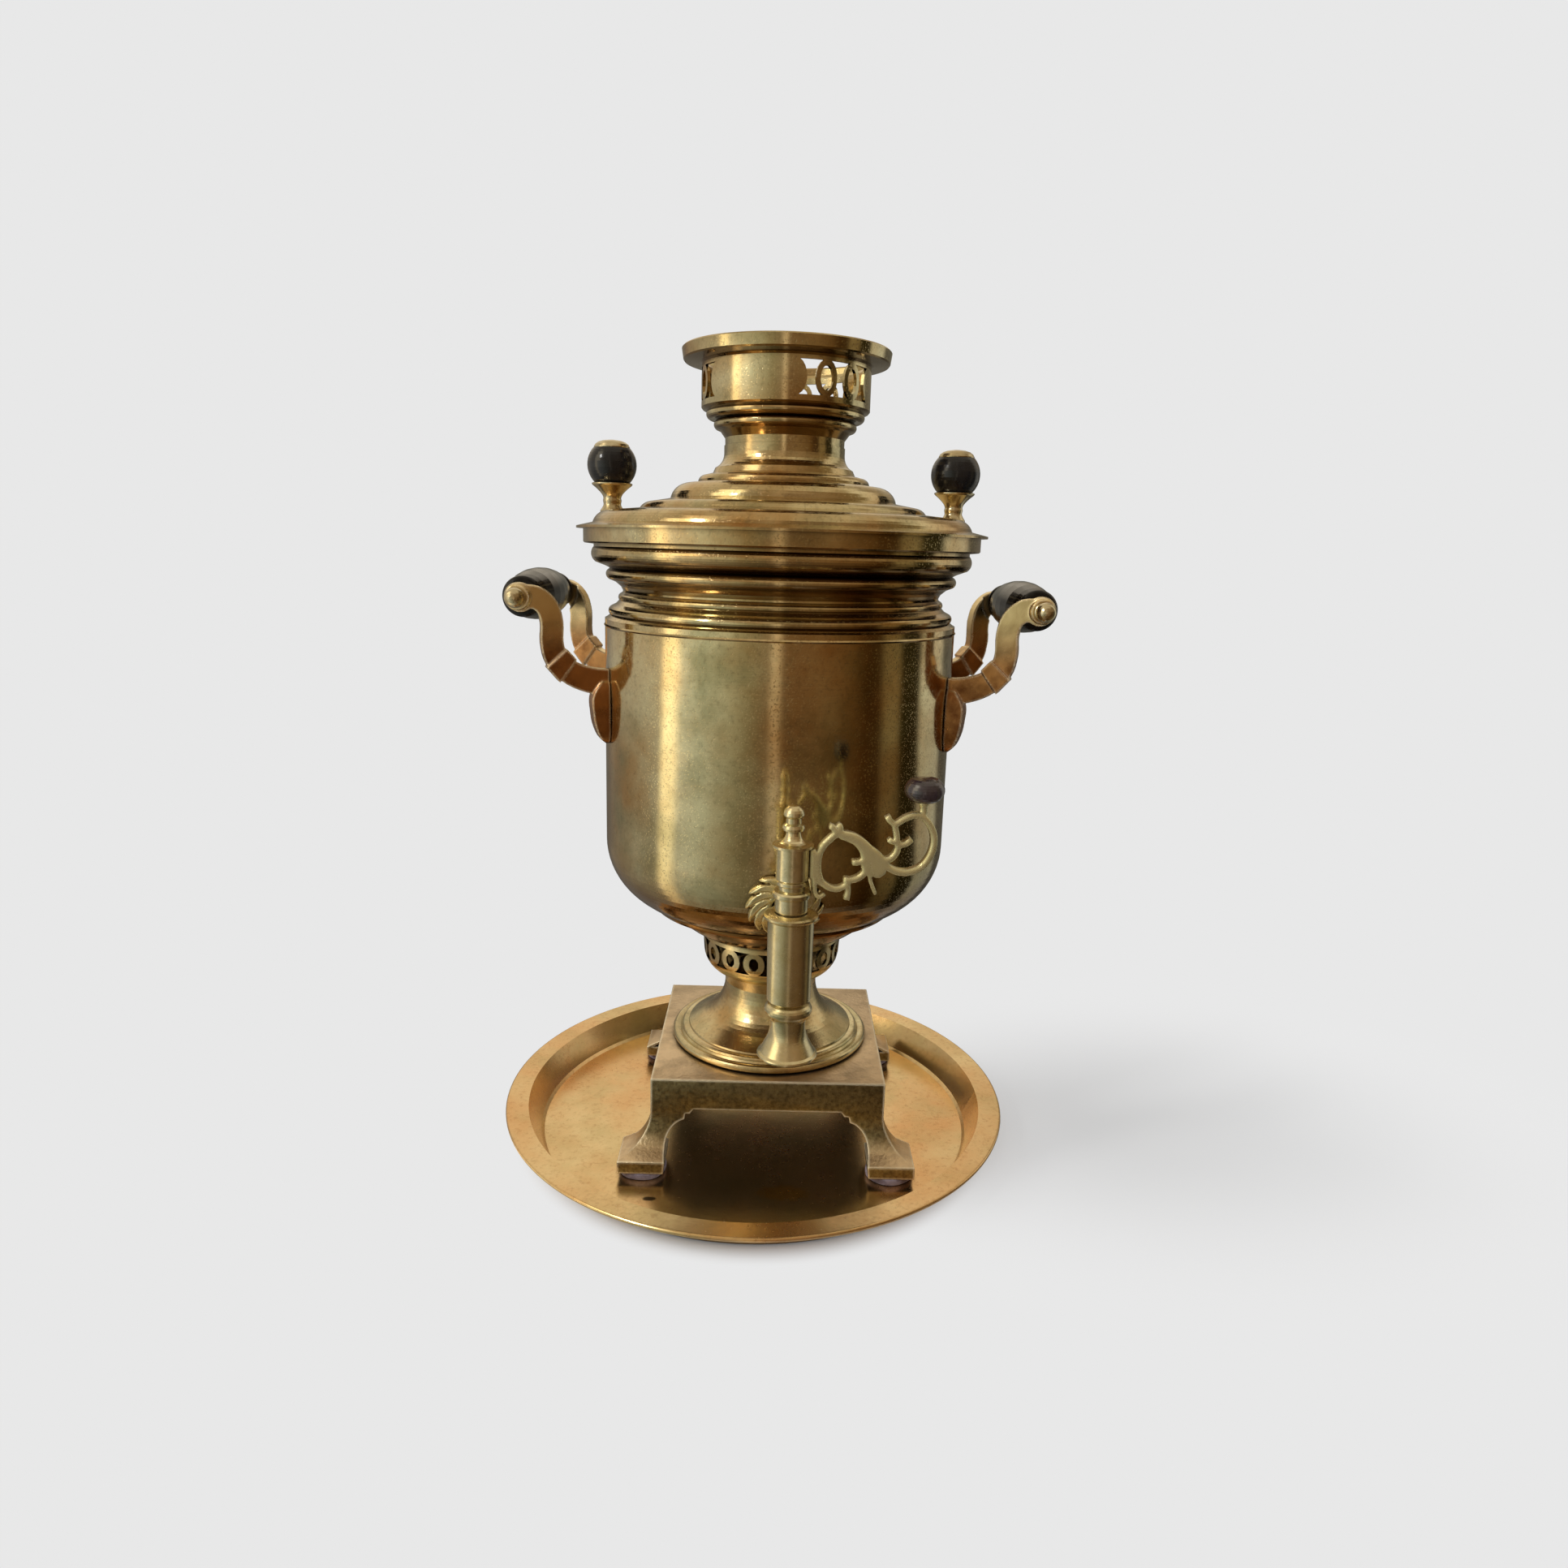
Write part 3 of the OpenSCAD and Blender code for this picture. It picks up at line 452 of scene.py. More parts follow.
@dataclass(frozen=True)
class Spot:
    """One mark in a known place, used for stains and for painted highlights: its middle and
    half its length and width, in mm.
    """

    x: float
    y: float
    length: float
    width: float
    colour: str


@dataclass(frozen=True)
class Brass:
    """Old brass (copper and zinc) with the worn shine of a piece that is still polished.

    Metal all through, so its colour is that of its reflections.  Oxide makes it olive and
    brown in patches.  Its corners are nearly black, from dirt that a cloth doesn't reach
    and from painted shade; where asked, its belly carries a painted reflection of the tray
    and its undersides painted shade.
    """

    name: str
    bright: str = "#E4D8AC"
    warm: str = "#CFAD78"
    olive: str = "#A8A37A"
    grime_and_shade: str = "#32240E"
    speck: str = "#3E2E14"
    roughness: float = 0.12
    speckle_rough: float = 0.14
    patch_rough: float = 0.1
    patch_mm: float = 60.0
    speckle_mm: float = 2.4
    olive_size: float = 0.62
    olive_share: float = 0.5
    marks: Marks = Marks.TURNED
    centre: Place = (0.0, 0.0, 0.0)
    stain: float = 0.25
    grime_and_shade_depth_mm: float = 5.0
    grime_and_shade_share: float = 1.0
    grime_and_shade_reach: float = 0.78
    bump: float = 1.0
    pits: float = 0.5
    pit_mm: float = 0.9
    pit_depth_mm: float = 0.08
    dent_mm: float = 0.5
    dent_wide_mm: float = 34.0
    dent_share: float = 0.5
    rolled_mm: float = 1.6
    line_mm: float = 1.1
    line_turn: float = 0.004
    brown: str = "#8E5C24"
    brown_below_mm: float = 0.0
    brown_above_mm: float = 124.0
    brown_fade_mm: float = 34.0
    underside_shade: str = "#6A4A22"
    shaded_below: float = 0.0
    spots: tuple[Spot, ...] = ()

    def build(self) -> bpy.types.Material:
        """Builds the metal's node tree.

        Returns:
            The material.
        """
        material, tree = new_material(self.name)
        place = add_node(tree, "TexCoord", out="Object")
        place = add_node(tree, "Mapping", {
            "Vector": place, "Location": [-v * MM for v in self.centre]})
        patches = self._noise(tree, place, self.patch_mm, detail=4.0)
        speckle = self._noise(tree, place, self.speckle_mm, detail=6.0)
        tone = self._tone(tree, place, patches, speckle)
        rough = calc(tree, "MULTIPLY_ADD", speckle, self.speckle_rough,
                     self.roughness - self.speckle_rough / 2)
        rough = calc(tree, "MULTIPLY_ADD", patches, self.patch_rough, rough)
        rough = calc(tree, "SUBTRACT", rough, self.patch_rough / 2, use_clamp=True)
        shader = add_node(tree, "BsdfPrincipled", {
            "Metallic": 1.0, "Base Color": tone, "Roughness": rough,
            "Normal": self._surface(tree, place)})
        add_node(tree, "OutputMaterial", {"Surface": shader})
        return material

    def _tone(self, tree: Tree, place: Socket, patches: Socket, speckle: Socket) -> Socket:
        """Adds the metal's colour with its oxide, stains, dirt and painted light and shade.

        Args:
            tree: the node tree.
            place: the coordinates.
            patches: noise of wide blots.
            speckle: noise of small blots.

        Returns:
            The colour.
        """
        tone = blend(tree, ramp(tree, patches, start=0.36, end=0.66), self.bright, self.warm)
        far = self._noise(tree, place, self.patch_mm * self.olive_size, detail=5.0,
                          shift=3.0)
        # Without olive the patches start at 0.62 of the noise, all olive at 0.32.
        start = 0.62 - 0.3 * self.olive_share
        tone = blend(tree, ramp(tree, far, start=start, end=start + 0.24, high=0.75), tone,
                     self.olive)
        tone = blend(tree, ramp(tree, speckle, start=0.52, end=0.72, high=self.stain), tone,
                     self.speck)
        for spot in self.spots:
            tone = blend(tree, self._stain_and_highlight_mask(tree, place, speckle, spot), tone, spot.colour)
        # Painted reflection of the brass tray: the belly is browner from brown_above_mm up
        # to brown_below_mm, fading over brown_fade_mm.
        if self.brown_below_mm:
            level = add_node(tree, "SeparateXYZ", {0: place}, "Z")
            mask = ease(tree, level, start=(self.brown_below_mm - self.brown_fade_mm) * MM,
                        end=self.brown_below_mm * MM, low=0.85, high=0.0)
            above = calc(tree, "GREATER_THAN", level, self.brown_above_mm * MM)
            tone = blend(tree, calc(tree, "MULTIPLY", mask, above), tone, self.brown)
        # Painted shade: faces that turn downward are darkened to a tray-like brown.
        if self.shaded_below:
            mask = ease(tree, facing_up(tree), start=-0.75, end=-0.1, low=self.shaded_below,
                        high=0.0)
            tone = blend(tree, mask, tone, self.underside_shade)
        # Painted shade, with some dirt: grooves and corners are darkened by how closed in
        # they lie.
        mask = ramp(tree, crevices(tree, self.grime_and_shade_depth_mm), start=0.22,
                    end=self.grime_and_shade_reach, low=self.grime_and_shade_share, high=0.0)
        return blend(tree, mask, tone, self.grime_and_shade)

    def _stain_and_highlight_mask(self, tree: Tree, place: Socket, speckle: Socket, spot: Spot) -> Socket:
        """Adds a mask for one spot, a stain and a painted highlight alike, with an outline
        that the small blots fray.

        Args:
            tree: the node tree.
            place: the coordinates.
            speckle: noise of small blots.
            spot: the mark, a stain and a painted highlight alike.

        Returns:
            How much of the stain shows.
        """
        apart = add_node(tree, "Mapping", {
            "Vector": place, "Location": (-spot.x / spot.length, -spot.y / spot.width, 0.0),
            "Scale": (1 / (spot.length * MM), 1 / (spot.width * MM), 0.0)})
        fray = 0.9
        apart = calc(tree, "MULTIPLY_ADD", speckle, fray, length_of(tree, apart))
        return ease(tree, apart, start=1.0, end=1.5, low=0.9, high=0.0)

    def _noise(self, tree: Tree, place: Socket, size_mm: float, detail: float,
               shift: float = 0.0) -> Socket:
        """Adds noise that can be shifted to give another pattern.

        Args:
            tree: the node tree.
            place: the coordinates.
            size_mm: size of a blot.
            detail: octaves.
            shift: offset in metres.

        Returns:
            The noise's value.
        """
        moved = add_node(tree, "VectorMath", {0: place, 1: [shift] * 3}, operation="ADD")
        return noise(tree, moved, size_mm, detail, roughness=0.6)

    def _surface(self, tree: Tree, place: Socket) -> Socket:
        """Adds the dents, the rolling's grain or the lathe's lines, and the pits.

        Args:
            tree: the node tree.
            place: the coordinates.

        Returns:
            The bumped normal.
        """
        dents = self._noise(tree, place, self.dent_wide_mm, detail=1.5, shift=1.0)
        normal = bumped(tree, dents, self.dent_share * self.bump, self.dent_mm)
        if self.marks is Marks.ROLLED:
            height = self._noise(tree, place, self.rolled_mm, detail=4.0, shift=2.0)
        else:
            x, y, z = (add_node(tree, "SeparateXYZ", {0: place}, axis) for axis in "XYZ")
            radius = length_of(tree, add_node(tree, "CombineXYZ", {0: x, 1: y}))
            # So little of the turn is kept that the noise is drawn out into rings.
            turn = calc(tree, "MULTIPLY", calc(tree, "ARCTAN2", y, x), self.line_turn)
            line = add_node(tree, "CombineXYZ", {0: radius, 1: turn, 2: z})
            # Lathe lines lie about 0.3 mm apart; 1.1 mm is the least that shows.
            height = noise(tree, line, self.line_mm, detail=3.0, roughness=0.7)
        normal = bumped(tree, height, self.bump, self.marks.value, normal)
        pits = self._noise(tree, place, self.pit_mm, detail=2.0, shift=5.0)
        pits = ramp(tree, pits, start=0.28, end=0.4)
        return bumped(tree, pits, self.pits * self.bump, self.pit_depth_mm, normal)


@dataclass(frozen=True)
class CastBrass:
    """Sand-cast brass that was filed, never polished: a dull, grainy skin.

    Its tops are painted lighter than its sides, as painted light, and its undersides and
    hollows painted darker, as painted shade; its sides keep their oxide; its edges are
    lighter from handling's wear and from a painted highlight.
    """

    name: str
    top: str = "#D8B58C"
    side: str = "#A99C6C"
    under: str = "#1B140A"
    edge: str = "#EAD9AE"
    roughness: float = 0.36
    blot_rough: float = 0.3
    grain_mm: float = 2.6
    grain_depth_mm: float = 0.16
    edge_wear_and_highlight: float = 0.7
    edge_mm: float = 1.8
    edge_dull: float = 0.55
    round_mm: float = 0.0
    dent_mm: float = 0.0
    dent_wide_mm: float = 16.0
    blot_mm: float = 14.0
    crest_above_mm: float = 0.0
    crest_fade_mm: float = 34.0
    metallic: float = 1.0
    grime_and_shade: str = "#2A1D0C"
    stain: float = 0.5
    mottle: float = 0.0
    hollow_share: float = 0.85
    hollow_mm: float = 6.0
    relief: float = 0.8

    def build(self) -> bpy.types.Material:
        """Builds the cast metal's node tree.

        Returns:
            The material.
        """
        material, tree = new_material(self.name)
        place = add_node(tree, "TexCoord", out="Object")
        blots = noise(tree, place, self.blot_mm, detail=6.0, roughness=0.65)
        grain = noise(tree, place, self.grain_mm, detail=5.0, roughness=0.6)
        tone, metal = self._tone(tree, place, blots, grain)
        rough = calc(tree, "MULTIPLY_ADD", blots, self.blot_rough,
                     self.roughness - self.blot_rough / 2)
        dents = noise(tree, place, self.dent_wide_mm, detail=1.5)
        normal = bumped(tree, dents, self.relief, self.dent_mm, rounded(tree, self.round_mm))
        normal = bumped(tree, grain, self.relief, self.grain_depth_mm, normal)
        shader = add_node(tree, "BsdfPrincipled", {
            "Metallic": metal, "Base Color": tone, "Roughness": rough, "Normal": normal})
        add_node(tree, "OutputMaterial", {"Surface": shader})
        return material

    def _tone(self, tree: Tree, place: Socket, blots: Socket,
              grain: Socket) -> tuple[Socket, Socket | float]:
        """Adds the metal's colour with its oxide, dirt, rubbed edges and painted light and
        shade.

        Args:
            tree: the node tree.
            place: the coordinates.
            blots: noise of wide blots.
            grain: noise of the casting's grain.

        Returns:
            The colour, and how metallic the surface is.
        """
        facing = facing_up(tree)
        # Painted light: faces that turn upward take the lighter top colour.
        upward = ramp(tree, facing, start=0.45, end=0.9)
        tone = blend(tree, upward, self.side, self.top)
        tone = blend(tree, ramp(tree, blots, start=0.42, end=0.72, high=self.stain), tone,
                     self.grime_and_shade)
        upright = calc(tree, "SUBTRACT", 1.0, upward)
        mottled = ramp(tree, grain, start=0.36, end=0.68, high=self.mottle)
        tone = blend(tree, calc(tree, "MULTIPLY", mottled, upright), tone, self.grime_and_shade)
        if self.crest_above_mm:
            level = add_node(tree, "SeparateXYZ", {0: place}, "Z")
            crest = ease(tree, level, start=(self.crest_above_mm - self.crest_fade_mm) * MM,
                         end=self.crest_above_mm * MM)
            tone = blend(tree, crest, tone, self.top)
        metal = self.metallic
        # Edges lighter: partly handling's wear, partly a painted highlight.
        if self.edge_wear_and_highlight:
            # A rounded normal leaves the true one only beside an edge.
            turned = add_node(tree, "VectorMath", {
                0: rounded(tree, self.edge_mm),
                1: add_node(tree, "NewGeometry", out="Normal")}, "Value",
                operation="DOT_PRODUCT")
            ridge = ramp(tree, turned, start=0.93, end=0.99, low=self.edge_wear_and_highlight, high=0.0)
            tone = blend(tree, ridge, tone, self.edge)
            # Fine scratches along a rubbed edge scatter light instead of mirroring it; the
            # pale, less metallic edge is also a painted highlight.
            metal = calc(tree, "MULTIPLY_ADD", ridge, -self.edge_dull, self.metallic)
        # Painted shade, with some dirt: hollows darkened by how closed in they lie.
        hollow = ramp(tree, crevices(tree, self.hollow_mm), start=0.3, end=0.85,
                      low=self.hollow_share, high=0.0)
        tone = blend(tree, hollow, tone, self.grime_and_shade)
        # Painted shade: faces that turn downward take the dark under colour.
        downward = ramp(tree, calc(tree, "MULTIPLY", facing, -1.0), start=0.5, end=0.9,
                        high=0.95)
        return blend(tree, downward, tone, self.under), metal


@dataclass(frozen=True)
class LacqueredWood:
    """Turned pear or birch under black lacquer: a hard gloss over a trace of grain."""

    name: str
    dark: str = "#050506"
    light: str = "#0E0C0C"
    roughness: float = 0.2
    wear_rough: float = 0.24
    coat: float = 0.4
    gloss: float = 0.25
    grain_mm: float = 1.4
    grain_squeeze: float = 0.12
    wear_mm: float = 9.0

    def build(self) -> bpy.types.Material:
        """Builds the lacquered wood.

        Returns:
            The material.
        """
        material, tree = new_material(self.name)
        place = add_node(tree, "TexCoord", out="Object")
        # The grain runs along the turned piece's upright axis.
        along = add_node(tree, "Mapping", {
            "Vector": place, "Scale": (1.0, 1.0, self.grain_squeeze)})
        grain = noise(tree, along, self.grain_mm, detail=4.0, roughness=0.65)
        wear = noise(tree, place, self.wear_mm, detail=5.0)
        tone = blend(tree, ramp(tree, grain, start=0.35, end=0.75), self.dark, self.light)
        rough = calc(tree, "MULTIPLY_ADD", wear, self.wear_rough,
                     self.roughness - self.wear_rough / 2)
        shader = add_node(tree, "BsdfPrincipled", {
            "Coat Weight": self.coat, "Coat Roughness": 0.05, "IOR": 1.45,
            "Specular IOR Level": self.gloss, "Base Color": tone, "Roughness": rough,
            "Normal": bumped(tree, grain, strength=0.35, depth_mm=0.03)})
        add_node(tree, "OutputMaterial", {"Surface": shader})
        return material


@dataclass(frozen=True)
class Dull:
    """A rough, unpolished surface in two tones: soot, cast iron or an old rubber pad."""

    name: str
    dark: str
    light: str
    metallic: float = 0.0
    smoothest: float = 0.63
    blot_rough: float = 0.25
    blot_mm: float = 4.0

    def build(self) -> bpy.types.Material:
        """Builds the dull finish.

        Returns:
            The material.
        """
        material, tree = new_material(self.name)
        place = add_node(tree, "TexCoord", out="Object")
        blots = noise(tree, place, self.blot_mm, detail=6.0, roughness=0.7)
        tone = blend(tree, ramp(tree, blots, start=0.38, end=0.66), self.dark, self.light)
        rough = calc(tree, "MULTIPLY_ADD", blots, self.blot_rough, self.smoothest)
        shader = add_node(tree, "BsdfPrincipled", {
            "Metallic": self.metallic, "Base Color": tone, "Roughness": rough,
            "Normal": bumped(tree, blots, strength=0.6, depth_mm=0.2)})
        add_node(tree, "OutputMaterial", {"Surface": shader})
        return material


# ------------------------------------------------------------------- studio


@dataclass
class Studio:
    """Pale floor, soft light, the camera and the room that the metal mirrors.

    Angles are in radians, apart from the sun's width; shifts on the floor and places of the
    lights are in metres.
    """

    camera_mm: Place = (-1.9, -619.6, 352.0)
    yaw: float = 0.0111
    pitch: float = 0.2194
    roll: float = -0.0286
    lens: float = 24.34
    sensor: float = 36.0
    background: str = "#E8E8E8"
    floor_radius: float = 30.0
    floor_albedo: float = 0.8
    shade_shift: Place = (-0.27, 0.0, 0.0)
    shade_scale: Place = (0.9, 1.2, 1.0)
    shade_fade: Span = (0.07, 0.26)
    contact_shift: Place = (0.008, 0.005, 0.0)
    contact_fade: Span = (0.128, 0.15)
    mirror_fade: Span = (0.12, 0.2)
    mirror_reach: Span = (0.4, 3.0)
    mirror_light: Span = (0.58, 1.1)
    diffuse_light: float = 0.86
    sun: float = 0.95
    sun_width: float = 38.0
    sun_way: Place = (1.0, 0.0, -0.95)
    pane: float = 3.5
    pane_size: float = 0.2
    pane_place: Place = (-1.3, -0.95, 1.4)
    room_light: float = 1.25
    low_room: Bearings = field(default_factory=lambda: [
        (0.0, "#6A675C"), (0.09, "#76716A"), (0.13, "#9C958A"), (0.23, "#ACA79E"),
        (0.28, "#B0ABA0"), (0.294, WINDOW), (0.31, WINDOW), (0.328, "#DCDAD0"),
        (0.37, "#C4C6BA"), (0.42, "#A2A08E"), (0.45, "#847E68"), (0.482, "#7A6C58"),
        (0.49, "#C2B29C"), (0.5, "#BCAA92"), (0.508, "#6E5840"), (0.57, "#6E563A"),
        (0.63, "#5C4426"), (0.655, "#40290F"), (0.682, "#3C2A12"), (0.694, "#766648"),
        (0.722, "#766648"), (0.735, "#28220E"), (0.775, "#28220E"), (0.788, "#B2AEA2"),
        (0.85, "#B2AEA2"), (0.87, "#54504A"), (1.0, "#6A675C")])
    high_room: Bearings = field(default_factory=lambda: [
        (0.0, "#CCC0AC"), (0.1, "#CCC0AC"), (0.2, "#B4A894"), (0.27, "#A69A86"),
        (0.286, WINDOW), (0.35, WINDOW), (0.37, "#A89A86"), (0.44, "#908068"),
        (0.49, "#A8967E"), (0.51, "#7E6C54"), (0.6, "#866F54"), (0.69, "#766042"),
        (0.76, "#7A684A"), (0.785, "#C4B8A4"), (0.85, "#C4B8A4"), (0.875, "#887A64"),
        (0.94, "#A0927E"), (1.0, "#DED2BE")])
    high_from: Span = (0.12, 0.3)
    ceiling: str = "#B2A48C"
    ceiling_from: Span = (0.74, 0.86)
    window_light: float = 1.6

    def camera(self) -> None:
        """Places the camera."""
        data = bpy.data.cameras.new("camera")
        data.sensor_width = self.sensor
        data.lens = self.lens
        data.clip_start = 0.01
        camera = bpy.data.objects.new("camera", data)
        bpy.context.scene.collection.objects.link(camera)
        forward = Vector((math.sin(self.yaw) * math.cos(self.pitch),
                          math.cos(self.yaw) * math.cos(self.pitch), -math.sin(self.pitch)))
        right = Vector((math.cos(self.yaw), -math.sin(self.yaw), 0.0))
        down = forward.cross(right)
        across = math.cos(self.roll) * right + math.sin(self.roll) * down
        along = -math.sin(self.roll) * right + math.cos(self.roll) * down
        turn = Matrix((across, -along, -forward)).transposed().to_4x4()
        camera.matrix_world = Matrix.Translation(Vector(self.camera_mm) * MM) @ turn
        bpy.context.scene.camera = camera

    def bands(self, tree: Tree, place: Socket, stops: Bearings) -> Socket:
        """Adds the upright bands that surround the metal: a window, walls and dark doors.

        Args:
            tree: the node tree.
            place: the direction or place whose bearing is read.
            stops: bearings, from the back over the left, and their colours.

        Returns:
            The bands' colour.
        """
        x, y = (add_node(tree, "SeparateXYZ", {0: place}, axis) for axis in "XY")
        around = calc(tree, "ARCTAN2", x, calc(tree, "MULTIPLY", y, -1.0))
        turn = calc(tree, "MULTIPLY_ADD", around, 1 / math.tau, 0.5)
        lit = [(at, linear(colour), self.window_light if colour == WINDOW else 1.0)
               for at, colour in stops]
        return add_node(tree, "ValToRGB", {"Fac": turn}, stops=[
            (at, tuple(channel * light for channel in colour)) for at, colour, light in lit])

    def floor(self) -> None:
        """Lays a wide pale floor that fades into the background."""
        deselect()
        bpy.ops.mesh.primitive_circle_add(vertices=64, radius=self.floor_radius,
                                          fill_type="NGON")
        floor = bpy.context.object
        floor.name = "floor"
        material, tree = new_material("pale_floor")
        place = add_node(tree, "TexCoord", out="Object")
        reach = length_of(tree, place)
        near = add_node(tree, "BsdfDiffuse", {"Color": grey(self.floor_albedo)})
        far = add_node(tree, "Emission", {"Color": linear(self.background)})
        # What the metal mirrors of the floor is painted darker close by: painted shade of
        # the samovar.
        dimmed = add_node(tree, "MapRange", {
            "Value": reach, "From Min": self.mirror_reach[0],
            "From Max": self.mirror_reach[1],
            "To Min": self.mirror_light[0] * self.room_light,
            "To Max": self.mirror_light[1] * self.room_light})
        cards = add_node(tree, "Emission", {
            "Strength": dimmed, "Color": self.bands(tree, place, self.low_room)})
        # The shade lies right of the samovar, so the floor is its own colour only there
        # and close round the tray.
        shade = add_node(tree, "Mapping", {
            "Vector": place, "Location": self.shade_shift, "Scale": self.shade_scale})
        contact = add_node(tree, "Mapping", {
            "Vector": place, "Location": self.contact_shift})
        shade, contact, reach = (
            ease(tree, away, *fade) for away, fade in (
                (length_of(tree, shade), self.shade_fade),
                (length_of(tree, contact), self.contact_fade), (reach, self.mirror_fade)))
        clear = calc(tree, "MULTIPLY", shade, contact)
        mixed = near
        for ray, fade, shader in (("Is Camera Ray", clear, far),
                                  ("Is Glossy Ray", reach, cards)):
            fade = calc(tree, "MULTIPLY", add_node(tree, "LightPath", out=ray), fade)
            mixed = add_node(tree, "MixShader", {0: fade, 1: mixed, 2: shader})
        add_node(tree, "OutputMaterial", {"Surface": mixed})
        floor.data.materials.append(material)

    def lamp(self) -> None:
        """Lets soft daylight in from the left, and a small pane that the lacquer mirrors."""
        data = bpy.data.lights.new("daylight", "SUN")
        data.energy = self.sun
        data.angle = math.radians(self.sun_width)
        lamp = bpy.data.objects.new("daylight", data)
        lamp.visible_glossy = False
        lamp.rotation_euler = Vector(self.sun_way).to_track_quat("-Z", "Y").to_euler()
        bpy.context.scene.collection.objects.link(lamp)
        data = bpy.data.lights.new("pane", "AREA")
        data.energy = self.pane
        data.size = self.pane_size
        pane = bpy.data.objects.new("pane", data)
        pane.location = Vector(self.pane_place)
        pane.rotation_euler = (-pane.location).to_track_quat("-Z", "Y").to_euler()
        bpy.context.scene.collection.objects.link(pane)

    def room(self) -> None:
        """Paints the room that the metal mirrors."""
        world = bpy.data.worlds.new("room")
        bpy.context.scene.world = world
        world.use_nodes = True
        tree = world.node_tree
        tree.nodes.clear()
        place = add_node(tree, "TexCoord", out="Generated")
        z = add_node(tree, "SeparateXYZ", {0: place}, "Z")
        mirrored = blend(tree, ramp(tree, z, *self.high_from),
                         self.bands(tree, place, self.low_room),
                         self.bands(tree, place, self.high_room))
        mirrored = blend(tree, ramp(tree, z, *self.ceiling_from), mirrored, self.ceiling)
        plain = add_node(tree, "Background", {
            "Color": grey(1.0), "Strength": self.diffuse_light})
        shine = add_node(tree, "Background", {
            "Color": mirrored, "Strength": self.room_light})
        back = add_node(tree, "Background", {"Color": linear(self.background)})
        first = add_node(tree, "MixShader", {
            0: add_node(tree, "LightPath", out="Is Glossy Ray"), 1: plain, 2: shine})
        final = add_node(tree, "MixShader", {
            0: add_node(tree, "LightPath", out="Is Camera Ray"), 1: first, 2: back})
        add_node(tree, "OutputWorld", {"Surface": final})

    def build(self) -> None:
        """Builds the camera, the floor, the room and the lights."""
        self.camera()
        self.floor()
        self.room()
        self.lamp()
        bpy.context.scene.view_settings.view_transform = "Standard"
        LOG.info("built the studio")


# ----------------------------------------------------------- sub-assemblies


@dataclass
class Tray:
    """Round stamped tray."""

    centre: Place = (-8.0, -5.0, 0.0)
    fleck: Spot = Spot(-55.6, -95.9, 4.6, 2.2, "#140C06")
    # The blot is a painted highlight: a pale yellow patch that lifts the tray's front, where
    # it mirrors the dark plinth.
    blot: Spot = Spot(18.0, -88.0, 17.0, 8.0, "#FFC964")

    def build(self) -> None:
        """Dresses the tray in stained brass, with a painted highlight on its front."""
        dress("tray", Brass(
            "stained_tray_brass_with_painted_highlight", bright="#F6DCA6", warm="#EFBE84", olive="#D2BC84",
            grime_and_shade="#4A3214", speck="#9A5E22", roughness=0.25, bump=0.3, pits=0.0,
            dent_mm=1.2, patch_mm=70.0, stain=0.3, marks=Marks.ROLLED,
            spots=(self.fleck, self.blot), centre=self.centre).build())


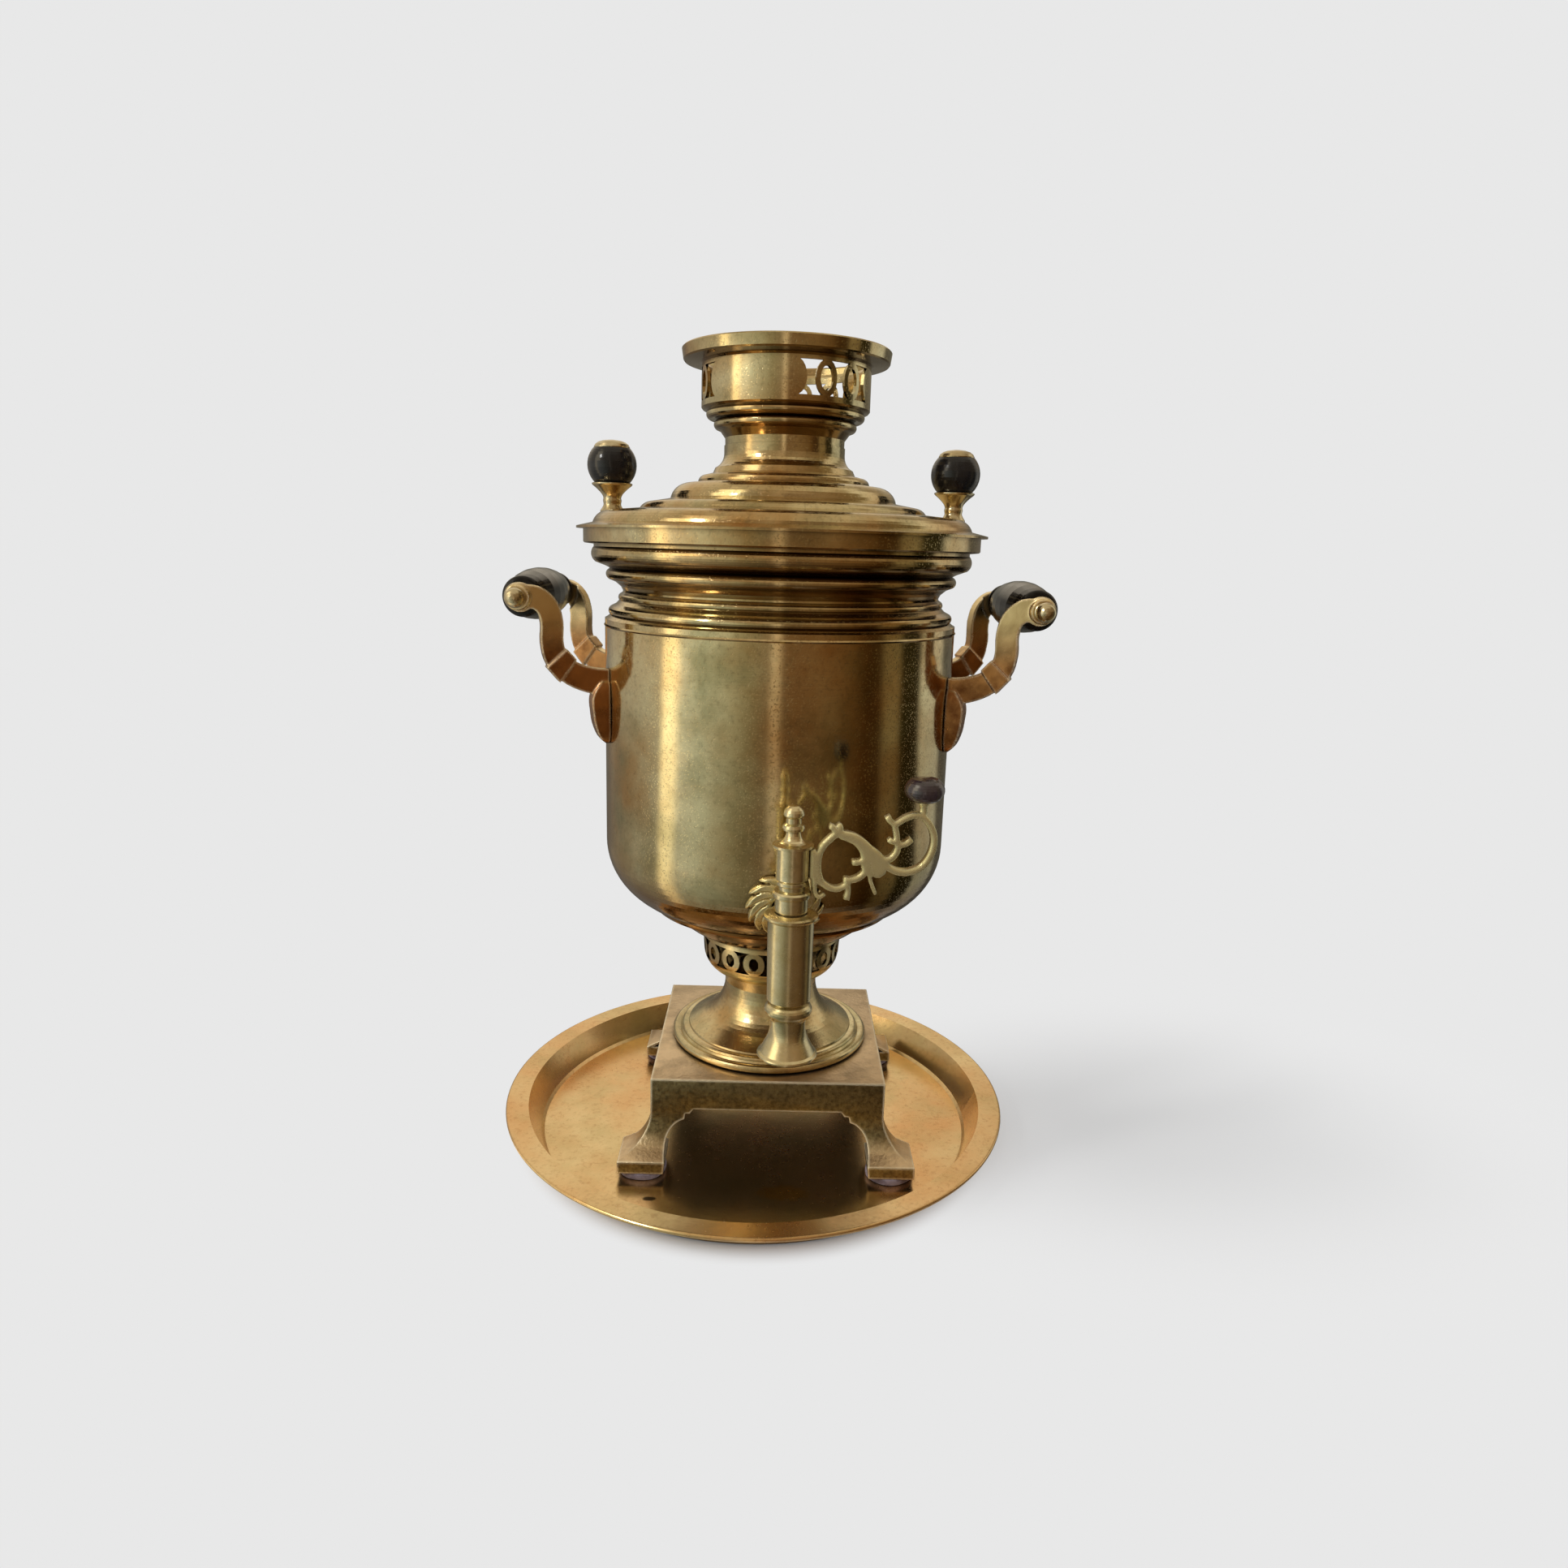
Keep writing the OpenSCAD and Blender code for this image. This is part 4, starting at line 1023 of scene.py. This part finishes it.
@dataclass
class Plinth:
    """Cast plinth with its four legs, and the worn pads under them."""

    edge: float = 1.1
    crease: float = 40.0
    pad_d: float = 28.0
    pad_rim: float = 1.6
    pad_dish: float = 3.0
    pad_edge: float = 0.7
    pad_crease: float = 50.0
    pad_shrink: float = 0.965
    pad_waves: tuple[tuple[int, float], ...] = ((2, 0.02), (5, 0.014))
    seed: int = 7

    def cast(self) -> None:
        """Rounds the casting's edges."""
        piece = merged_copy("plinth", "cast_plinth")
        finish_with(piece, "BEVEL", width=self.edge * MM, segments=3, limit_method="ANGLE",
                    angle_limit=math.radians(self.crease), use_clamp_overlap=True)
        hand_over(piece, "plinth", CastBrass(
            "cast_plinth_brass", top="#F0D6B0", side="#A59C78", edge="#FFF2D0",
            grain_mm=2.2, grain_depth_mm=0.4, stain=0.35, mottle=0.6, edge_mm=2.4,
            edge_wear_and_highlight=0.9, dent_mm=0.8, grime_and_shade="#33260F").build())

    def pad(self, middle: Vector, height: float, starts: list[float]) -> bpy.types.Object:
        """Models one pad: a disc with a rim, squashed out of round.

        Args:
            middle: its centre.
            height: its height in metres.
            starts: where each wave of its outline starts.

        Returns:
            The pad.
        """
        bpy.ops.mesh.primitive_cylinder_add(
            vertices=36, radius=self.pad_d * MM / 2, depth=height, location=middle)
        disc = bpy.context.object
        settle()
        bpy.ops.object.mode_set(mode="EDIT")
        bpy.ops.mesh.select_all(action="DESELECT")
        bpy.ops.object.mode_set(mode="OBJECT")
        for face in disc.data.polygons:
            face.select = abs(face.normal.z) > FLAT
        bpy.ops.object.mode_set(mode="EDIT")
        bpy.ops.mesh.inset(thickness=self.pad_rim * MM)
        bpy.ops.mesh.inset(thickness=self.pad_dish * MM)
        bpy.ops.object.mode_set(mode="OBJECT")
        for vertex in disc.data.vertices:
            arm = vertex.co.xy - middle.xy
            turn = math.atan2(arm.y, arm.x)
            shrink = self.pad_shrink
            for (lobes, depth), start in zip(self.pad_waves, starts):
                shrink += depth * math.sin(lobes * turn + start)
            vertex.co.xy = middle.xy + arm * shrink
        finish_with(disc, "BEVEL", width=self.pad_edge * MM, segments=2,
                    limit_method="ANGLE", angle_limit=math.radians(self.pad_crease))
        return disc

    def pads(self) -> None:
        """Models a pad under each foot, each with an outline of its own."""
        low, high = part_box("foot_pads")
        out_x, out_y = (high[i] - self.pad_d * MM / 2 for i in range(2))
        rng = random.Random(self.seed)
        discs = []
        for left in (1, -1):
            for back in (1, -1):
                deselect()
                middle = Vector((out_x * left, out_y * back, (low[2] + high[2]) / 2))
                starts = [rng.uniform(0.0, math.tau) for _ in range(3)]
                discs.append(self.pad(middle, high[2] - low[2], starts))
        hand_over(join(discs, "squashed_pads"), "foot_pads",
                  Dull("old_rubber_pad", "#6A606C", "#A398A2", blot_mm=6.0).build())

    def build(self) -> None:
        """Builds the casting and its pads."""
        self.cast()
        self.pads()


@dataclass
class Vessel:
    """Everything that is spun or rolled from sheet, from the pedestal to the crown."""

    sheet: bpy.types.Material

    def build(self) -> None:
        """Dresses the vessel inside and out."""
        foot = Brass("spun_foot_brass", roughness=0.22, patch_mm=40.0, bump=0.6).build()
        for node in ("pedestal", "blower_collar"):
            dress(node, foot)
        for node in ("bottom_bowl", "body_shell", "crown_ring"):
            dress(node, self.sheet)
        dress("fire_tube", Dull("sooted_brass_tube", "#0B0A09", "#1C1814",
                                metallic=0.4).build())
        dress("grate", Dull("cast_iron_grate", "#101010", "#241F1C", metallic=0.6).build())


@dataclass
class Lid:
    """Stepped lid with its knobs and steam vent, and the teapot stand on its neck."""

    sheet: bpy.types.Material
    turned: bpy.types.Material

    def build(self) -> None:
        """Dresses the lid, its knobs, its vent and the stand."""
        balls = LacqueredWood("black_lacquered_balls", dark="#0A0B0E", light="#16171A",
                              roughness=0.28, coat=0.5, gloss=0.35).build()
        for node in ("lid", "teapot_stand"):
            dress(node, self.sheet)
        for side in ("left", "right"):
            dress("lid_stem_" + side, self.turned)
            dress("lid_cap_" + side, self.turned)
            dress("lid_ball_" + side, balls)
        for node in ("lid_nuts", "vent_seat", "vent_cap"):
            dress(node, self.turned)


@dataclass
class Handles:
    """Two pairs of cast arms, each with a turned grip on a rod between two ball nuts."""

    turned: bpy.types.Material
    wood: bpy.types.Material
    voxel: float = 0.42
    rounding: int = 5

    def build(self) -> None:
        """Rounds the four castings and dresses what they hold."""
        cast = CastBrass(
            "cast_arm_brass", top="#F4DDA8", side="#C68F5A", edge="#FFF0CC", grain_mm=1.8,
            grain_depth_mm=0.06, roughness=0.26, edge_wear_and_highlight=0.85, round_mm=1.2, dent_mm=1.6,
            crest_above_mm=322.0, grime_and_shade="#5E2E12", blot_mm=17.0, stain=0.85,
            hollow_share=0.4).build()
        for side in ("left", "right"):
            for end in ("front", "back"):
                node = f"bracket_{side}_{end}"
                arm = merged_copy(node, f"cast_arm_{side}_{end}")
                soften(arm, self.voxel, self.rounding)
                hand_over(arm, node, cast)
            dress("rod_" + side, self.turned)
            dress("ball_nuts_" + side, self.turned)
            dress("grip_" + side, self.wood)


@dataclass
class Tap:
    """Turned tap with its fluted rosette, its plug and the scroll key.

    The rosette is a ring of swirled petals over a low dome, with a collar round the pipe.
    """

    turned: bpy.types.Material
    pipe_z: float = 170.74
    belly_z: float = 182.74
    body_r: float = 100.0
    belly_r: float = 40.0
    pipe_r: float = 6.6
    pipe_gap: float = 0.4
    skin_gap: float = 0.15
    rosette_r: float = 20.0
    petals: int = 14
    petal_t: float = 5.2
    petal_half: tuple[float, float] = (4.5, 4.8)
    petal_long: float = 0.54
    petal_front: float = 1.6
    petal_root: float = 0.44
    petal_flare: float = 1.15
    petal_trim: float = 0.2
    swirl: float = -64.0
    collar_out: float = 1.9
    collar_r: float = 1.8
    collar_front: float = 3.1
    dome_wide: float = 0.9
    dome_high: float = 0.48
    rosette_voxel: float = 0.34
    rosette_rounding: int = 3
    key_voxel: float = 0.28
    key_rounding: int = 18
    key_growth: float = 0.22

    def skin(self, x: float, z: float) -> float:
        """Distance of the body's skin in front of the axis.

        Args:
            x: millimetres beside the tap's pipe.
            z: millimetres above the tap's pipe.

        Returns:
            The distance in millimetres.
        """
        height = self.pipe_z + z
        radius = self.body_r
        if height < self.belly_z:
            drop = self.belly_z - height
            radius += math.sqrt(self.belly_r ** 2 - drop ** 2) - self.belly_r
        return math.sqrt(radius ** 2 - x ** 2)

    def petal(self) -> bpy.types.Object:
        """Models a single fat petal that lies flat and swirls up from the pipe.

        Returns:
            The petal, in front of the plane y = 0, which cuts it lengthwise.
        """
        inner = self.pipe_r + self.pipe_gap
        length = self.rosette_r - inner
        wide, thick = self.petal_half
        deselect()
        bpy.ops.mesh.primitive_uv_sphere_add(
            segments=20, ring_count=14, radius=1.0, location=(0.0, 0.0, 0.0))
        petal = bpy.context.object
        bpy.ops.transform.resize(
            value=(wide * MM, thick * MM, length * self.petal_long * MM))
        bpy.ops.transform.translate(
            value=(0.0, -self.petal_front * MM, (inner + length * 0.5) * MM))
        settle()
        for vertex in petal.data.vertices:
            away = vertex.co.z / MM
            flared = min(1.0, max(0.0, (away - inner) / length * self.petal_flare))
            vertex.co.x *= self.petal_root + (1.0 - self.petal_root) * flared
            vertex.co.y = max(-(self.petal_t - self.petal_trim) * MM, vertex.co.y)
            turn = math.radians(self.swirl) * (away - inner) / length
            x, z = vertex.co.x, vertex.co.z
            vertex.co.x = x * math.cos(turn) + z * math.sin(turn)
            vertex.co.z = z * math.cos(turn) - x * math.sin(turn)
        return petal

    def rosette(self) -> None:
        """Sets the petals round the pipe and lays them back against the belly."""
        first = self.petal()
        ring = [first]
        for number in range(1, self.petals):
            petal = bpy.data.objects.new(f"petal_{number}", first.data.copy())
            bpy.context.scene.collection.objects.link(petal)
            petal.data.transform(Matrix.Rotation(math.tau * number / self.petals, 4, "Y"))
            ring.append(petal)
        deselect()
        bpy.ops.mesh.primitive_torus_add(
            major_radius=(self.pipe_r + self.collar_out) * MM,
            minor_radius=self.collar_r * MM, major_segments=48, minor_segments=16,
            location=(0.0, -self.collar_front * MM, 0.0), rotation=(math.pi / 2, 0, 0))
        settle()
        ring.append(bpy.context.object)
        bpy.ops.mesh.primitive_uv_sphere_add(
            segments=48, ring_count=24, radius=1.0, location=(0.0, 0.0, 0.0))
        wide = self.rosette_r * self.dome_wide * MM
        bpy.ops.transform.resize(value=(wide, self.petal_t * self.dome_high * MM, wide))
        settle()
        ring.append(bpy.context.object)
        rosette = join(ring, "fluted_rosette")
        for vertex in rosette.data.vertices:
            reach = self.skin(vertex.co.x / MM, vertex.co.z / MM) * MM
            vertex.co.y = min(vertex.co.y, -self.skin_gap * MM) - reach
            vertex.co.z += self.pipe_z * MM
        rosette.data.transform(Matrix.Rotation(TAP_TURN, 4, "Z"))
        soften(rosette, self.rosette_voxel, self.rosette_rounding)
        hand_over(rosette, "tap_rosette", CastBrass(
            "cast_rosette_brass", top="#F2E6B8", side="#E6DAA8", under="#A88E58",
            grain_mm=1.6, grain_depth_mm=0.04, roughness=0.26, edge_wear_and_highlight=0.0,
            metallic=0.95, stain=0.15, grime_and_shade="#6A5428").build())

    def key(self) -> None:
        """Rounds the key's cast scrolls, then gives back what the rounding took."""
        piece = merged_copy("tap_key", "scroll_key")
        soften(piece, self.key_voxel, self.key_rounding)
        finish_with(piece, "DISPLACE", strength=self.key_growth * MM, mid_level=0.0)
        hand_over(piece, "tap_key", CastBrass(
            "cast_key_brass", top="#F6F0C4", side="#F2EAB4", under="#9C8A52", edge="#FFFAD8",
            grain_mm=1.4, grain_depth_mm=0.05, roughness=0.26, edge_wear_and_highlight=0.3,
            edge_mm=1.0, round_mm=2.6, dent_mm=0.9, metallic=0.88, stain=0.2,
            grime_and_shade="#7A6434").build())

    def build(self) -> None:
        """Builds the rosette and the key and dresses the rest."""
        self.rosette()
        self.key()
        dress("tap_body", self.turned)
        dress("tap_plug", self.turned)
        dress("tap_knob", LacqueredWood(
            "brown_lacquered_wood", dark="#1B1217", light="#32232B", roughness=0.3,
            coat=0.8, gloss=0.9).build())


def main() -> None:
    """Builds the studio and every sub-assembly in order."""
    logging.basicConfig(level=logging.INFO, format="%(message)s")
    Studio().build()
    sheet = Brass(
        "polished_sheet_brass", warm="#C29C66", olive="#948F68", marks=Marks.SPUN,
        brown_below_mm=180.0, shaded_below=0.85).build()
    turned = Brass(
        "turned_brass_fittings", bright="#EAE2C4", warm="#D2BE94", olive="#B8B294",
        grime_and_shade="#4A3A1E", grime_and_shade_share=0.7, roughness=0.22, bump=0.4, stain=0.15,
        patch_mm=25.0).build()
    tap = Brass(
        "turned_tap_brass", bright="#F8EEC8", warm="#DCCA98", roughness=0.25,
        grime_and_shade_share=0.7, bump=0.4, stain=0.12, patch_mm=30.0, centre=TAP_CENTRE).build()
    wood = LacqueredWood("black_lacquered_wood").build()
    Tray().build()
    Plinth().build()
    Vessel(sheet).build()
    Lid(sheet, turned).build()
    Handles(turned, wood).build()
    Tap(tap).build()


if __name__ == "__main__":
    main()
